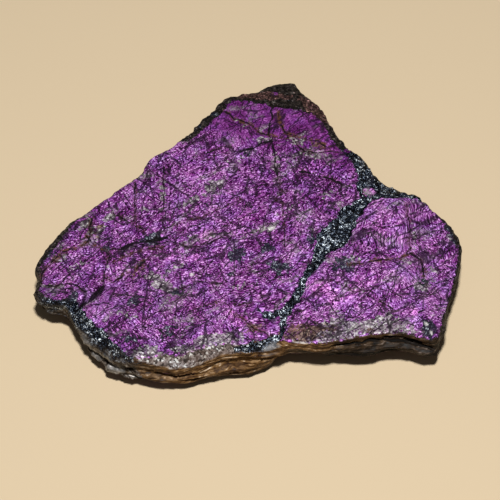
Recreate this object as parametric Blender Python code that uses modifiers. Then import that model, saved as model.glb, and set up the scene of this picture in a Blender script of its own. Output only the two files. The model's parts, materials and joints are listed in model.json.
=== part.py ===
"""Purpurite slab: a cleaved plate of purple phosphate stone with a dark crust.

The plate is built the way the stone lies: beds on top of each other, each a flat outline
with a thickness, fused into one body, split by a seam, weathered and faceted.
Tables are in millimetres, in plan as seen from above, with heights measured from the
purple face: 0 is the face and -THICKNESS is what the stone rests on. The last step stands
the stone on Z = 0 with its origin under the middle of its box.
"""
import math

import bmesh
import bpy
import numpy as np
from mathutils import Matrix, Vector, noise

MM = 0.001

# Driving dimensions, in mm
THICKNESS = 9.0
FACE_BED_DEPTH = 2.1
SECOND_BED_DEPTH = 4.4
THIRD_BED_DEPTH = 7.8
FLAP_TOP = 1.7
FLAP_BOTTOM = 4.9
BED_OVERLAP = 0.3
SECOND_BED_INSET = 0.55
FOOT_TAPER = 0.9
FOOT_CENTRE = (-2.0, -1.0)
SEAM_BACK = -15.4
SEAM_FRONT = -24.0

# Weathering, in mm
GRAIN_OF_MODEL = 0.38
CHAMFER_REACH = 5.5
DEEPEST_CHAMFER = 2.6
GROOVE_REACH = 2.6
STEP_REACH = 3.5
VEIN_DEPTH = 0.45
VEIN_LIP = 0.35
BELLY_RADIUS = 5.0
BELLY_RISE = 0.0045
BELLY_SPARE = 0.4
BELLY_TOP = 2.5
BELLY_FADE = 3.0
FOOT_TOP = 4.0
FACETS = 7600
SMALLEST_EDGE = 0.01

# Uneven surfaces: size of the waves along x, y and z, and how far they move the stone
WALL_BREAKS = ((5.5, 5.5, 3.0), 0.85)
WALL_LEDGES = ((9.0, 9.0, 0.9), 0.75)
WALL_CALM_AT_RIM = 0.25
WALL_FADE = 2.0
BELLY_LUMPS = ((7.0, 7.0, 7.0), 0.6)
BELLY_PITS = ((2.6, 2.6, 2.6), 0.27)
FACE_SWELL = ((13.0, 9.0, 30.0), 0.16)
FACE_RIPPLE = ((4.0, 3.0, 30.0), 0.08)
VEIN_GRAINS = ((1.2, 1.2, 9.0), 0.25)
PATH_WANDER = ((2.2, 2.2, 30.0), 0.35)

# The rim: the outer edge of the face bed, clockwise from the tip of the left lobe
RIM = [
    (-36.2, -10.3), (-37.1, -9.4), (-37.7, -8.4), (-37.0, -7.4), (-36.8, -5.9), (-37.4, -4.6),
    (-37.95, -3.7), (-37.7, -2.6), (-36.9, -1.1), (-35.8, 1.0), (-34.4, 2.8), (-33.0, 4.6),
    (-31.4, 6.6), (-30.0, 7.3), (-28.5, 8.5), (-27.2, 9.8), (-26.0, 10.9), (-24.8, 11.7),
    (-23.7, 13.0), (-21.8, 14.5), (-20.0, 16.0), (-19.1, 16.9), (-18.9, 18.2), (-18.1, 19.8),
    (-16.7, 20.9), (-15.0, 21.7), (-13.9, 22.7), (-13.3, 23.8), (-12.1, 24.6), (-10.7, 25.6),
    (-10.3, 26.8), (-9.4, 27.8), (-8.6, 29.0), (-7.3, 29.8), (-6.6, 31.2), (-6.2, 32.1),
    (-5.0, 33.4), (-3.6, 34.3), (-2.1, 34.4), (-0.7, 35.0), (1.0, 35.3), (2.1, 35.9),
    (3.0, 37.0), (4.2, 37.9), (5.8, 38.2), (7.2, 38.7), (8.3, 38.6), (9.0, 36.9),
    (9.8, 35.4), (11.1, 34.0), (12.5, 32.4), (13.6, 30.7), (14.2, 29.4), (14.3, 27.9),
    (15.1, 27.0), (15.6, 25.6), (16.4, 24.4), (17.2, 23.1), (18.0, 22.1), (19.6, 21.2),
    (20.6, 20.6), (21.3, 19.5), (21.9, 18.4), (22.3, 17.2), (23.0, 16.6), (24.3, 15.7),
    (25.4, 14.7), (26.7, 13.8), (27.7, 13.1), (28.7, 12.5), (30.0, 12.0), (30.4, 11.2),
    (31.5, 10.2), (32.2, 9.1), (33.7, 7.7), (35.0, 6.2), (36.2, 4.1), (36.9, 2.6),
    (37.05, 1.4), (37.4, 0.4), (37.2, -1.0), (37.0, -2.5), (36.3, -4.6), (35.8, -6.6),
    (35.2, -8.2), (34.9, -9.8), (34.1, -12.0), (33.3, -14.7), (32.7, -16.6), (32.2, -18.0),
    (31.4, -18.7), (29.9, -18.3), (28.4, -17.8), (26.3, -17.2), (23.7, -17.05), (21.0, -17.3),
    (18.4, -18.0), (15.8, -18.6), (13.2, -19.2), (11.0, -19.4), (7.9, -19.2), (6.3, -18.9),
    (5.0, -19.4), (2.5, -19.9), (0.0, -20.5), (-2.5, -20.65), (-5.0, -20.9), (-7.0, -21.5),
    (-9.0, -22.5), (-11.2, -23.1), (-13.0, -23.3), (-15.5, -23.0), (-17.5, -22.8),
    (-19.2, -22.6), (-21.4, -22.6), (-23.0, -22.0), (-24.5, -20.8), (-26.7, -18.6),
    (-28.6, -16.6), (-30.4, -14.2), (-31.3, -12.4), (-31.9, -11.0), (-33.0, -10.9),
    (-34.0, -10.8), (-35.1, -10.8),
]

# The face: where the flat purple cleavage ends and the edge starts to slope down
FACE = [
    (-36.1, -9.2), (-37.0, -8.4), (-36.5, -7.3), (-36.3, -5.9), (-36.8, -4.6), (-37.1, -3.7),
    (-36.7, -2.6), (-36.0, -1.1), (-34.9, 1.0), (-33.5, 2.8), (-32.2, 4.3), (-30.7, 6.2),
    (-29.6, 7.2), (-27.0, 9.7), (-23.8, 12.7), (-19.4, 16.3), (-18.6, 19.3), (-16.5, 20.8),
    (-13.6, 23.0), (-10.9, 25.0), (-9.6, 27.0), (-7.4, 29.3), (-4.9, 30.6), (-4.2, 32.1),
    (-2.9, 32.9), (0.0, 32.5), (2.4, 32.1), (3.7, 31.2), (5.3, 31.2), (7.9, 30.9),
    (9.7, 30.4), (11.6, 29.6), (13.2, 27.7), (13.7, 26.4), (14.2, 24.8), (15.8, 22.5),
    (17.4, 20.1), (18.2, 18.4), (19.6, 16.2), (20.0, 12.4), (21.4, 11.2), (24.0, 11.0),
    (28.0, 11.2), (29.8, 11.2), (31.0, 9.9), (33.2, 7.5), (34.5, 5.8), (35.5, 3.8),
    (36.1, 1.2), (36.9, 0.3), (36.7, -2.4), (35.5, -6.6), (34.7, -9.8), (33.1, -14.6),
    (32.0, -17.4), (31.2, -18.3), (28.4, -17.6), (26.3, -17.0), (23.7, -16.9), (21.0, -17.1),
    (18.4, -17.8), (13.2, -19.0), (11.0, -19.2), (7.9, -19.0), (6.3, -18.5), (2.5, -18.2),
    (-1.5, -19.3), (-3.0, -19.0), (-6.3, -19.3), (-8.5, -20.0), (-10.0, -20.5),
    (-12.5, -21.4), (-15.5, -21.3), (-17.5, -21.8), (-20.0, -21.9), (-21.5, -20.8),
    (-22.8, -19.3), (-25.0, -17.0), (-27.0, -15.0), (-28.9, -12.4), (-29.6, -10.9),
    (-32.0, -10.0), (-33.0, -10.4), (-34.0, -10.3), (-35.0, -10.1),
]

# How steeply the edge slopes outside the face, near each of these places: x, y, drop per mm
EDGE_SLOPES = [
    (-26.0, -18.0, 1.0), (-13.0, -22.5, 1.0), (0.0, -20.0, 1.0), (-36.5, -6.0, 0.5),
    (-33.5, 3.5, 0.5), (-8.0, 29.5, 0.4), (4.5, 36.0, 0.3), (12.5, 31.0, 0.35),
    (19.5, 20.0, 0.4), (24.0, 13.0, 0.5), (36.0, 3.0, 0.6), (35.5, -10.0, 0.6),
]

# The lower split bed that shows as a thin flap along the front of the right lobe
FLAP = [
    (12.2, -14.0), (12.5, -18.9), (16.0, -19.0), (19.0, -18.8), (22.0, -18.4), (25.0, -18.5),
    (28.0, -18.9), (30.0, -19.6), (31.6, -19.7), (32.4, -17.8), (32.8, -14.0), (30.0, -9.0),
    (20.0, -8.0),
]

# The third bed, set back under both lobes and flush with the wall at the front
THIRD_BED = [
    (-29.0, -13.4), (-28.0, -16.8), (-24.3, -20.5), (-21.4, -22.2), (-18.0, -23.0),
    (-14.0, -23.5), (-10.5, -23.3), (-7.5, -22.4), (-4.5, -21.6), (-1.5, -21.0), (1.2, -20.2),
    (3.6, -19.1), (5.4, -17.0), (8.0, -15.4), (13.0, -14.8), (18.0, -14.2), (23.0, -13.6),
    (27.0, -13.2), (29.5, -11.5), (31.5, -7.5), (33.2, -2.5), (33.4, 1.0), (31.6, 5.2),
    (28.8, 8.6), (25.2, 10.6), (22.0, 12.6), (19.9, 15.6), (18.4, 18.8), (15.8, 21.9),
    (13.4, 25.2), (11.4, 29.4), (8.6, 33.6), (5.6, 35.0), (2.0, 33.2), (-1.5, 31.6),
    (-4.8, 30.2), (-7.2, 27.0), (-10.2, 23.6), (-14.2, 20.0), (-16.8, 17.2), (-18.6, 14.0),
    (-22.4, 11.0), (-26.2, 7.6), (-29.8, 4.2), (-32.4, 0.6), (-33.6, -2.8), (-32.4, -6.2),
    (-29.8, -8.2), (-28.2, -11.0),
]

# The foot: the lowest bed, whose belly the stone rests on
FOOT = [
    (-24.5, -13.5), (-23.4, -17.8), (-20.4, -20.9), (-15.5, -22.6), (-10.5, -22.7),
    (-6.0, -21.6), (-2.0, -20.8), (1.6, -19.6), (3.8, -17.0), (6.5, -12.5), (12.0, -11.0),
    (18.0, -10.6), (23.0, -9.4), (26.5, -6.0), (28.0, -1.0), (26.5, 4.0), (23.0, 7.5),
    (19.0, 10.5), (16.5, 15.0), (13.5, 20.0), (10.5, 25.5), (7.0, 30.0), (3.0, 29.0),
    (-1.0, 26.0), (-5.5, 22.5), (-10.0, 18.0), (-14.0, 14.0), (-18.5, 9.5), (-23.0, 5.0),
    (-26.5, 0.5), (-27.0, -4.5), (-25.5, -9.0),
]

# The seam between the split beds, seen from the front: x, height of its middle, opening
SEAM = [
    (15.5, -0.75, 0.05), (18.4, -0.95, 0.35), (21.0, -1.25, 0.6), (23.7, -1.5, 0.75),
    (26.3, -1.75, 0.85), (28.9, -1.95, 0.8), (31.3, -2.0, 0.7), (34.5, -2.0, 0.5),
]

# The blue-black vein: x, y, half width
VEIN = [
    (21.4, 13.4, 1.3), (19.7, 10.0, 1.2), (17.9, 8.0, 1.6), (17.2, 6.0, 1.7), (15.4, 3.5, 2.4),
    (14.0, 2.0, 2.2), (13.2, 1.0, 1.6), (12.6, 0.0, 1.2), (12.4, -1.0, 0.9), (11.1, -3.0, 0.8),
    (9.8, -5.0, 0.7), (9.0, -7.0, 0.8), (8.3, -9.0, 0.8), (7.3, -11.0, 0.7), (5.8, -13.0, 0.7),
    (5.9, -15.0, 0.5), (5.5, -17.0, 0.6), (4.3, -18.2, 1.1), (0.0, -19.6, 0.8),
]
VEIN_BRANCH = [(5.8, -13.0, 0.6), (4.4, -13.0, 0.6), (3.2, -13.4, 0.7), (2.0, -12.9, 0.3)]

# Cracks across the face: path, half width, depth, step between its two sides
CRACKS = [
    ([(-30.2, -11.6), (-29.0, -10.6), (-27.8, -9.6), (-26.4, -8.4), (-26.0, -7.0)], 0.75, 1.5, 0.25),
    ([(-26.0, -7.0), (-25.4, -4.2), (-24.9, -1.0)], 0.5, 0.35, 0.12),
    ([(-22.6, 0.6), (-21.6, 1.0), (-20.0, 1.9), (-18.0, 2.2), (-15.0, 2.8)], 0.65, 0.75, 0.2),
    ([(-33.0, -0.2), (-31.0, 0.4), (-28.2, 2.2), (-26.0, 0.2)], 0.5, 0.35, 0.1),
    ([(-36.4, -6.6), (-36.2, -4.4), (-35.0, -2.8), (-33.0, -0.2)], 0.45, 0.35, 0.1),
    ([(-23.6, -6.4), (-22.0, -4.8), (-20.0, -3.8), (-18.6, -2.2)], 0.5, 0.35, 0.15),
    ([(-20.6, 14.4), (-20.6, 8.0), (-20.8, 5.6), (-19.0, 4.2)], 0.45, 0.35, 0.15),
    ([(-15.5, 20.0), (-15.4, 11.0), (-15.5, 5.6)], 0.45, 0.3, 0.12),
    ([(-4.4, 30.4), (-2.9, 28.8), (-0.5, 27.7), (1.8, 25.9), (5.3, 24.6), (7.4, 24.2)], 0.5, 0.45, 0.2),
    ([(4.2, 32.0), (3.6, 27.4), (3.7, 24.1), (4.6, 19.6), (5.2, 14.0), (6.0, 8.0), (6.2, 0.0)],
     0.5, 0.45, 0.15),
    ([(-8.4, 20.6), (-6.8, 21.7), (-5.3, 22.5), (-2.9, 22.7)], 0.45, 0.4, 0.15),
    ([(-1.8, 21.2), (0.0, 22.2), (2.9, 23.7), (6.3, 24.0), (7.9, 24.0), (9.7, 21.7), (13.9, 21.4)],
     0.5, 0.45, 0.15),
    ([(9.0, 17.0), (11.6, 16.7), (13.9, 15.6), (16.6, 14.2)], 0.55, 0.45, 0.12),
    ([(27.8, 10.0), (28.2, 7.0), (28.4, 4.5), (28.0, 1.5), (28.3, -0.3)], 0.45, 0.35, 0.2),
    ([(18.0, -2.8), (20.5, -2.5), (24.0, -1.9), (28.3, -0.3), (29.5, -1.5), (30.5, -4.0),
      (30.2, -5.4)], 0.5, 0.4, 0.2),
    ([(22.4, -10.5), (24.2, -11.8), (25.5, -12.6)], 0.45, 0.35, 0.1),
    ([(29.2, -12.8), (31.0, -11.4), (34.4, -11.0)], 0.5, 0.4, 0.15),
    ([(7.9, -12.0), (10.0, -13.9), (11.8, -15.0)], 0.45, 0.35, 0.1),
]


def clear_scene():
    """Empties the scene, its collections and its meshes."""
    for item in list(bpy.data.objects):
        bpy.data.objects.remove(item)
    for group in list(bpy.data.collections):
        bpy.data.collections.remove(group)


def new_collection(name):
    """Adds a collection to the scene."""
    group = bpy.data.collections.new(name)
    bpy.context.scene.collection.children.link(group)
    return group


def slab_from_outline(name, outline, half_thickness, place, collection):
    """A flat closed outline as a 2D curve, given a thickness and made a welded mesh."""
    curve = bpy.data.curves.new(name, "CURVE")
    curve.dimensions = "2D"
    curve.fill_mode = "BOTH"
    curve.extrude = half_thickness * MM
    spline = curve.splines.new("POLY")
    spline.points.add(len(outline) - 1)
    for point, (x, y) in zip(spline.points, outline):
        point.co = (x * MM, y * MM, 0.0, 1.0)
    spline.use_cyclic_u = True
    guide = bpy.data.objects.new(name, curve)
    collection.objects.link(guide)
    mesh = meshed(guide)
    mesh.transform(place)
    bpy.data.objects.remove(guide)
    shape = bpy.data.objects.new(name, mesh)
    collection.objects.link(shape)
    return shape


def meshed(item):
    """The evaluated mesh of an object, with its doubles merged and its faces outwards."""
    bpy.context.view_layer.update()
    evaluated = item.evaluated_get(bpy.context.evaluated_depsgraph_get())
    mesh = bpy.data.meshes.new_from_object(evaluated)
    bm = bmesh.new()
    bm.from_mesh(mesh)
    bmesh.ops.remove_doubles(bm, verts=bm.verts, dist=0.001 * MM)
    bmesh.ops.recalc_face_normals(bm, faces=bm.faces)
    bm.to_mesh(mesh)
    bm.free()
    return mesh


def bed(name, outline, top, bottom, collection):
    """A bed of the stone between two heights below the face."""
    place = Matrix.Translation((0.0, 0.0, -(top + bottom) / 2 * MM))
    return slab_from_outline(name, outline, (bottom - top) / 2, place, collection)


def inset(outline, distance):
    """A clockwise outline moved inwards, each corner along the middle of its two sides."""
    moved = []
    for index, corner in enumerate(outline):
        before = Vector(outline[index - 1])
        after = Vector(outline[(index + 1) % len(outline)])
        along = (after - before).normalized()
        moved.append((corner[0] + along.y * distance, corner[1] - along.x * distance))
    return moved


def taper(item, factor, centre):
    """Draws the lower side of a bed in towards a centre."""
    middle = sum(vertex.co.z for vertex in item.data.vertices) / len(item.data.vertices)
    for vertex in item.data.vertices:
        if vertex.co.z < middle:
            vertex.co.x = (centre[0] * MM) + (vertex.co.x - centre[0] * MM) * factor
            vertex.co.y = (centre[1] * MM) + (vertex.co.y - centre[1] * MM) * factor


def seam_cutter(collection):
    """The thin open split along the front, as an outline seen from the front."""
    upper = [(x, height + opening / 2) for x, height, opening in SEAM]
    lower = [(x, height - opening / 2) for x, height, opening in SEAM]
    middle = (SEAM_BACK + SEAM_FRONT) / 2
    place = Matrix.Translation((0.0, middle * MM, 0.0)) @ Matrix.Rotation(math.pi / 2, 4, "X")
    cutter = slab_from_outline(
        "seam_cutter", upper + lower[::-1], (SEAM_BACK - SEAM_FRONT) / 2, place, collection
    )
    cutter.hide_render = True
    cutter.display_type = "WIRE"
    return cutter


def combine(stone, other, operation):
    """Adds a Boolean with another shape to the stone."""
    join = stone.modifiers.new(operation.lower() + " " + other.name, "BOOLEAN")
    join.operation = operation
    join.solver = "EXACT"
    join.object = other


def settle(stone):
    """Makes the stone's modifiers permanent."""
    mesh = meshed(stone)
    stone.modifiers.clear()
    stone.data = mesh


def fuse_beds(parts, cutters):
    """All beds as one closed body, with the seam cut into its front."""
    stone = bed("purpurite_slab", RIM, 0.0, FACE_BED_DEPTH, parts)
    lower = [
        bed("second_bed", inset(RIM, SECOND_BED_INSET), FACE_BED_DEPTH - BED_OVERLAP,
            SECOND_BED_DEPTH, cutters),
        bed("flap", FLAP, FLAP_TOP, FLAP_BOTTOM, cutters),
        bed("third_bed", THIRD_BED, SECOND_BED_DEPTH - BED_OVERLAP, THIRD_BED_DEPTH, cutters),
        bed("foot", FOOT, THIRD_BED_DEPTH - BED_OVERLAP, THICKNESS + BELLY_SPARE, cutters),
    ]
    taper(lower[-1], FOOT_TAPER, FOOT_CENTRE)
    for other in lower:
        other.hide_render = True
        other.display_type = "WIRE"
        combine(stone, other, "UNION")
    combine(stone, seam_cutter(cutters), "DIFFERENCE")
    settle(stone)
    return stone


def read_points(mesh):
    """The places of a mesh's vertices, in mm."""
    flat = np.empty(len(mesh.vertices) * 3)
    mesh.vertices.foreach_get("co", flat)
    return flat.reshape(-1, 3) / MM


def write_points(mesh, points):
    """Moves a mesh's vertices to new places given in mm."""
    mesh.vertices.foreach_set("co", (points * MM).ravel())
    mesh.update()


def waves(points, uneven, seed):
    """Smooth noise in mm: uneven holds the size of its waves and their height."""
    sizes, height = uneven
    shift = Vector((seed * 7.31, seed * 3.17, seed * 5.73))
    return height * np.array(
        [noise.noise(Vector(place) + shift) for place in points / np.array(sizes)]
    )


def nearest_leg(points, path):
    """For each point in plan: distance to a path, share of the path run, side, and value.

    A path's points are x, y and any value that is blended along it.
    """
    legs = list(zip(path[:-1], path[1:]))
    total = sum(math.dist(start[:2], end[:2]) for start, end in legs)
    best = np.full(len(points), np.inf)
    share = np.zeros(len(points))
    side = np.ones(len(points))
    value = np.zeros(len(points))
    run = 0.0
    for start, end in legs:
        leg = np.array(end[:2]) - np.array(start[:2])
        length = math.hypot(*leg)
        away = points[:, :2] - np.array(start[:2])
        along = np.clip(away @ leg / length**2, 0.0, 1.0)
        distance = np.hypot(*(away - along[:, None] * leg).T)
        closer = distance < best
        best[closer] = distance[closer]
        share[closer] = (run + along[closer] * length) / total
        side[closer] = np.sign(leg[0] * away[closer, 1] - leg[1] * away[closer, 0])
        if len(start) > 2:
            value[closer] = start[2] + along[closer] * (end[2] - start[2])
        run += length
    return best, share, side, value


def outside(points, outline):
    """Distance in plan by which each point lies outside a closed outline, 0 inside it."""
    distance = nearest_leg(points, outline + outline[:1])[0]
    inner = np.zeros(len(points), dtype=bool)
    for (x1, y1), (x2, y2) in zip(outline, outline[1:] + outline[:1]):
        if y1 == y2:
            continue
        crosses = (y1 > points[:, 1]) != (y2 > points[:, 1])
        inner ^= crosses & (points[:, 0] < (x2 - x1) * (points[:, 1] - y1) / (y2 - y1) + x1)
    return np.where(inner, 0.0, distance)


def edge_slope(points):
    """How steeply the edge slopes at each point, blended from the places in EDGE_SLOPES."""
    weights = np.zeros(len(points))
    slopes = np.zeros(len(points))
    for x, y, slope in EDGE_SLOPES:
        near = 1.0 / (1.0 + (points[:, 0] - x) ** 2 + (points[:, 1] - y) ** 2) ** 2
        weights += near
        slopes += near * slope
    return slopes / weights


def sunk(points, drop, reach):
    """Lowers the stone by drop at its face, fading out over reach below it."""
    moved = points.copy()
    moved[:, 2] -= drop * np.clip(1.0 + points[:, 2] / reach, 0.0, 1.0)
    return moved


def roughen_walls(points):
    """Ragged broken walls with thin ledges, and a lumpy underside."""
    below = np.clip(-points[:, 2] / WALL_FADE, WALL_CALM_AT_RIM, 1.0)
    moved = points.copy()
    for axis in (0, 1):
        breaks = waves(points, WALL_BREAKS, axis + 1)
        ledges = waves(points, WALL_LEDGES, axis + 3)
        moved[:, axis] += below * (breaks + ledges)
    lumps = waves(points, BELLY_LUMPS, 5) + waves(points, BELLY_PITS, 6)
    moved[:, 2] += lumps * np.clip((-points[:, 2] - BELLY_TOP) / BELLY_FADE, 0.0, 1.0)
    return moved


def round_belly(points):
    """Lifts the underside away from its middle, so that the stone rests on a flat spot."""
    away = np.hypot(points[:, 0] - FOOT_CENTRE[0], points[:, 1] - FOOT_CENTRE[1])
    rise = BELLY_RISE * np.clip(away - BELLY_RADIUS, 0.0, None) ** 2
    moved = points.copy()
    moved[:, 2] += rise * np.clip((-points[:, 2] - FOOT_TOP) / (THICKNESS - FOOT_TOP), 0.0, 1.0)
    return moved


def face_drop(points):
    """How far the vein, the cracks and the steps beside them lie below the face."""
    drop = -waves(points, FACE_SWELL, 7) - waves(points, FACE_RIPPLE, 8)
    wandered = points.copy()
    for axis in (0, 1):
        wandered[:, axis] += waves(points, PATH_WANDER, axis + 10)
    for path in (VEIN, VEIN_BRANCH):
        distance, _, _, half_width = nearest_leg(wandered, path)
        sunken = np.clip((half_width + VEIN_LIP - distance) / VEIN_LIP, 0.0, 1.0)
        drop = np.maximum(drop, sunken * (VEIN_DEPTH + waves(points, VEIN_GRAINS, 9)))
    for path, half_width, depth, step in CRACKS:
        distance, share, side, _ = nearest_leg(wandered, path)
        drop = np.maximum(drop, depth * np.clip(1.0 - distance / half_width, 0.0, 1.0))
        drop -= step / 2 * side * np.exp(-distance / STEP_REACH) * np.sin(math.pi * share)
    return drop


def weather(stone):
    """Turns the fused beds into stone: rough walls, sloping edges, a vein and cracks."""
    remesh = stone.modifiers.new("grain", "REMESH")
    remesh.mode = "VOXEL"
    remesh.voxel_size = GRAIN_OF_MODEL * MM
    settle(stone)
    points = read_points(stone.data)
    points = roughen_walls(points)
    points = round_belly(points)
    chamfer = np.minimum(outside(points, FACE) * edge_slope(points), DEEPEST_CHAMFER)
    points = sunk(points, chamfer, CHAMFER_REACH)
    points = sunk(points, face_drop(points), GROOVE_REACH)
    write_points(stone.data, points)


def facet(stone):
    """Thins the fine surface to the facets that its form needs."""
    thin = stone.modifiers.new("facets", "DECIMATE")
    thin.ratio = FACETS / sum(len(face.vertices) - 2 for face in stone.data.polygons)
    settle(stone)


def stand(stone):
    """Cuts the flat resting spot and sets the stone on Z = 0 over its origin."""
    bm = bmesh.new()
    bm.from_mesh(stone.data)
    geometry = bm.verts[:] + bm.edges[:] + bm.faces[:]
    bmesh.ops.bisect_plane(
        bm, geom=geometry, dist=0.0, plane_co=(0.0, 0.0, -THICKNESS * MM),
        plane_no=(0.0, 0.0, -1.0), clear_outer=True
    )
    open_edges = [edge for edge in bm.edges if edge.is_boundary]
    bmesh.ops.triangle_fill(bm, use_beauty=True, edges=open_edges, normal=(0.0, 0.0, -1.0))
    bmesh.ops.dissolve_degenerate(bm, dist=SMALLEST_EDGE * MM, edges=bm.edges)
    bmesh.ops.triangulate(bm, faces=bm.faces)
    bmesh.ops.recalc_face_normals(bm, faces=bm.faces)
    bm.to_mesh(stone.data)
    bm.free()
    points = read_points(stone.data)
    lowest = points.min(axis=0)
    middle = (lowest + points.max(axis=0)) / 2
    write_points(stone.data, points - np.array((middle[0], middle[1], lowest[2])))


def purple_stone():
    """The dark purple of the cleaved stone."""
    material = bpy.data.materials.new("purple stone")
    material.use_nodes = True
    shader = material.node_tree.nodes["Principled BSDF"]
    shader.inputs["Base Color"].default_value = (0.17, 0.055, 0.18, 1.0)
    shader.inputs["Roughness"].default_value = 0.55
    shader.inputs["Metallic"].default_value = 0.0
    return material


def main():
    clear_scene()
    parts = new_collection("purpurite")
    cutters = new_collection("cutters")
    stone = fuse_beds(parts, cutters)
    weather(stone)
    facet(stone)
    stand(stone)
    stone.data.materials.clear()
    stone.data.materials.append(purple_stone())
    stone.data.shade_flat()


main()
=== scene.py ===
"""Dresses a slab of purpurite: its silky purple face, blue-black vein, crust and layered edge.

The slab's own solid is copied, given a fine skin, carved and then coloured by what each part
of the surface is. Places on the stone are written in millimetres in the plane of the purple
face, seen from above: x to the right, y to the back and z up from the face.
"""

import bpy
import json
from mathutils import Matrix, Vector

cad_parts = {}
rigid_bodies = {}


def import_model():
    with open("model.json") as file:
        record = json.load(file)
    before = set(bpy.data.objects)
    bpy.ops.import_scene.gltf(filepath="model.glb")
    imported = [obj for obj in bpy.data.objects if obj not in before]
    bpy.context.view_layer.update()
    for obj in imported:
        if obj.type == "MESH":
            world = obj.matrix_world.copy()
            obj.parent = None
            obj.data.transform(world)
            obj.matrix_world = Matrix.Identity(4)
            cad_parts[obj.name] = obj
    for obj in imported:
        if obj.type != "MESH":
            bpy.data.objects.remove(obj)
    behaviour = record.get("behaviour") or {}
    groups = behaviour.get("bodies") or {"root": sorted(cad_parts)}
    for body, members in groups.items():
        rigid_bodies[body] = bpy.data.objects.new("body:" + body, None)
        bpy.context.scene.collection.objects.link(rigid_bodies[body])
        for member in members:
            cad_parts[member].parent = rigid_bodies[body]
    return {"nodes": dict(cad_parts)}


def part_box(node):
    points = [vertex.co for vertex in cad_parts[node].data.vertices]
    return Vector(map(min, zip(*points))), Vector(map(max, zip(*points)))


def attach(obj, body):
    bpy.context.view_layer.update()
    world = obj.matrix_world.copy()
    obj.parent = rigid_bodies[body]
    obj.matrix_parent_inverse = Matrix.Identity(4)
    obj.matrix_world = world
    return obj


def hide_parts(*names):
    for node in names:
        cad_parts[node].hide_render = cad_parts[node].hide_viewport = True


bl_info = {
    "name": "Purpurite Slab",
    "version": (1, 0, 0),
    "blender": (4, 5, 0),
    "location": "View3D > Sidebar > Purpurite",
    "description": "Finishes a purpurite slab with a fibrous purple face, a vein and a layered edge",
    "category": "Object",
}

import json
import math

import bpy
import numpy as np
from mathutils import Vector, noise

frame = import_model()

MM = 0.001
FACE_ZERO = Vector((0.255, -7.486, 9.0))

# The face: where the flat purple cleavage ends and the edge starts to slope down
FACE = [
    (-36.1, -9.2), (-37.0, -8.4), (-36.5, -7.3), (-36.2, -5.9), (-36.5, -4.6), (-36.6, -3.7),
    (-36.1, -2.6), (-35.3, -1.1), (-34.0, 1.0), (-32.9, 2.8), (-32.0, 4.3), (-30.7, 6.2),
    (-29.6, 7.2), (-27.0, 9.7), (-23.8, 12.7), (-19.4, 16.3), (-18.6, 19.3), (-16.5, 20.8),
    (-13.6, 23.0), (-10.2, 24.4), (-8.4, 26.2), (-6.6, 28.4), (-4.7, 30.3), (-4.2, 32.1),
    (-2.9, 32.9), (0.0, 32.5), (2.4, 32.1), (3.7, 31.2), (5.3, 31.2), (7.9, 30.9),
    (9.7, 30.4), (11.6, 29.6), (13.2, 27.7), (13.7, 26.4), (14.2, 24.8), (15.8, 22.5),
    (17.4, 20.1), (18.6, 18.6), (19.4, 16.4), (18.9, 13.0), (20.9, 10.7), (24.0, 11.0),
    (28.0, 11.2), (29.8, 11.2), (31.0, 9.9), (33.2, 7.5), (34.5, 5.8), (35.5, 3.8),
    (36.1, 1.2), (36.7, 0.3), (36.4, -2.4), (35.5, -6.6), (34.7, -9.8), (33.1, -14.6),
    (32.0, -17.4), (31.2, -18.3), (28.4, -17.6), (26.3, -17.0), (23.7, -16.9), (21.0, -17.1),
    (18.4, -17.8), (13.2, -19.0), (11.0, -19.2), (7.9, -19.0), (6.3, -18.5), (2.5, -18.2),
    (-1.5, -19.3), (-3.0, -19.0), (-6.3, -19.3), (-8.5, -20.0), (-10.0, -20.5),
    (-12.5, -21.4), (-15.5, -21.3), (-17.5, -21.8), (-20.0, -21.9), (-21.5, -20.8),
    (-22.8, -19.3), (-25.0, -17.0), (-27.0, -15.0), (-28.9, -12.4), (-29.6, -10.9),
    (-32.0, -10.0), (-33.0, -10.4), (-34.0, -10.3), (-35.0, -10.1),
]

# The blue-black vein: x, y, half width
VEIN = [
    (20.6, 11.2, 0.9), (19.7, 10.0, 1.25), (17.9, 8.0, 1.7), (17.0, 6.0, 1.8),
    (15.2, 3.5, 2.7), (13.8, 2.0, 2.5), (13.2, 1.0, 1.8), (12.6, 0.0, 1.25), (12.4, -1.0, 0.95),
    (11.1, -3.0, 0.8), (9.8, -5.0, 0.7), (9.0, -7.0, 0.8), (8.3, -9.0, 0.85), (7.3, -11.0, 0.65),
    (6.4, -12.2, 0.75), (5.8, -13.0, 0.8), (5.9, -15.0, 0.45), (5.5, -17.0, 0.5),
    (4.3, -18.0, 0.85), (2.5, -18.8, 0.7), (0.0, -19.6, 0.75), (-2.2, -20.3, 0.6),
]
VEIN_BRANCH = [
    (6.2, -12.8, 0.5), (4.6, -12.8, 0.55), (3.4, -13.4, 0.8), (2.6, -13.2, 0.65),
    (1.8, -12.4, 0.3),
]

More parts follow.
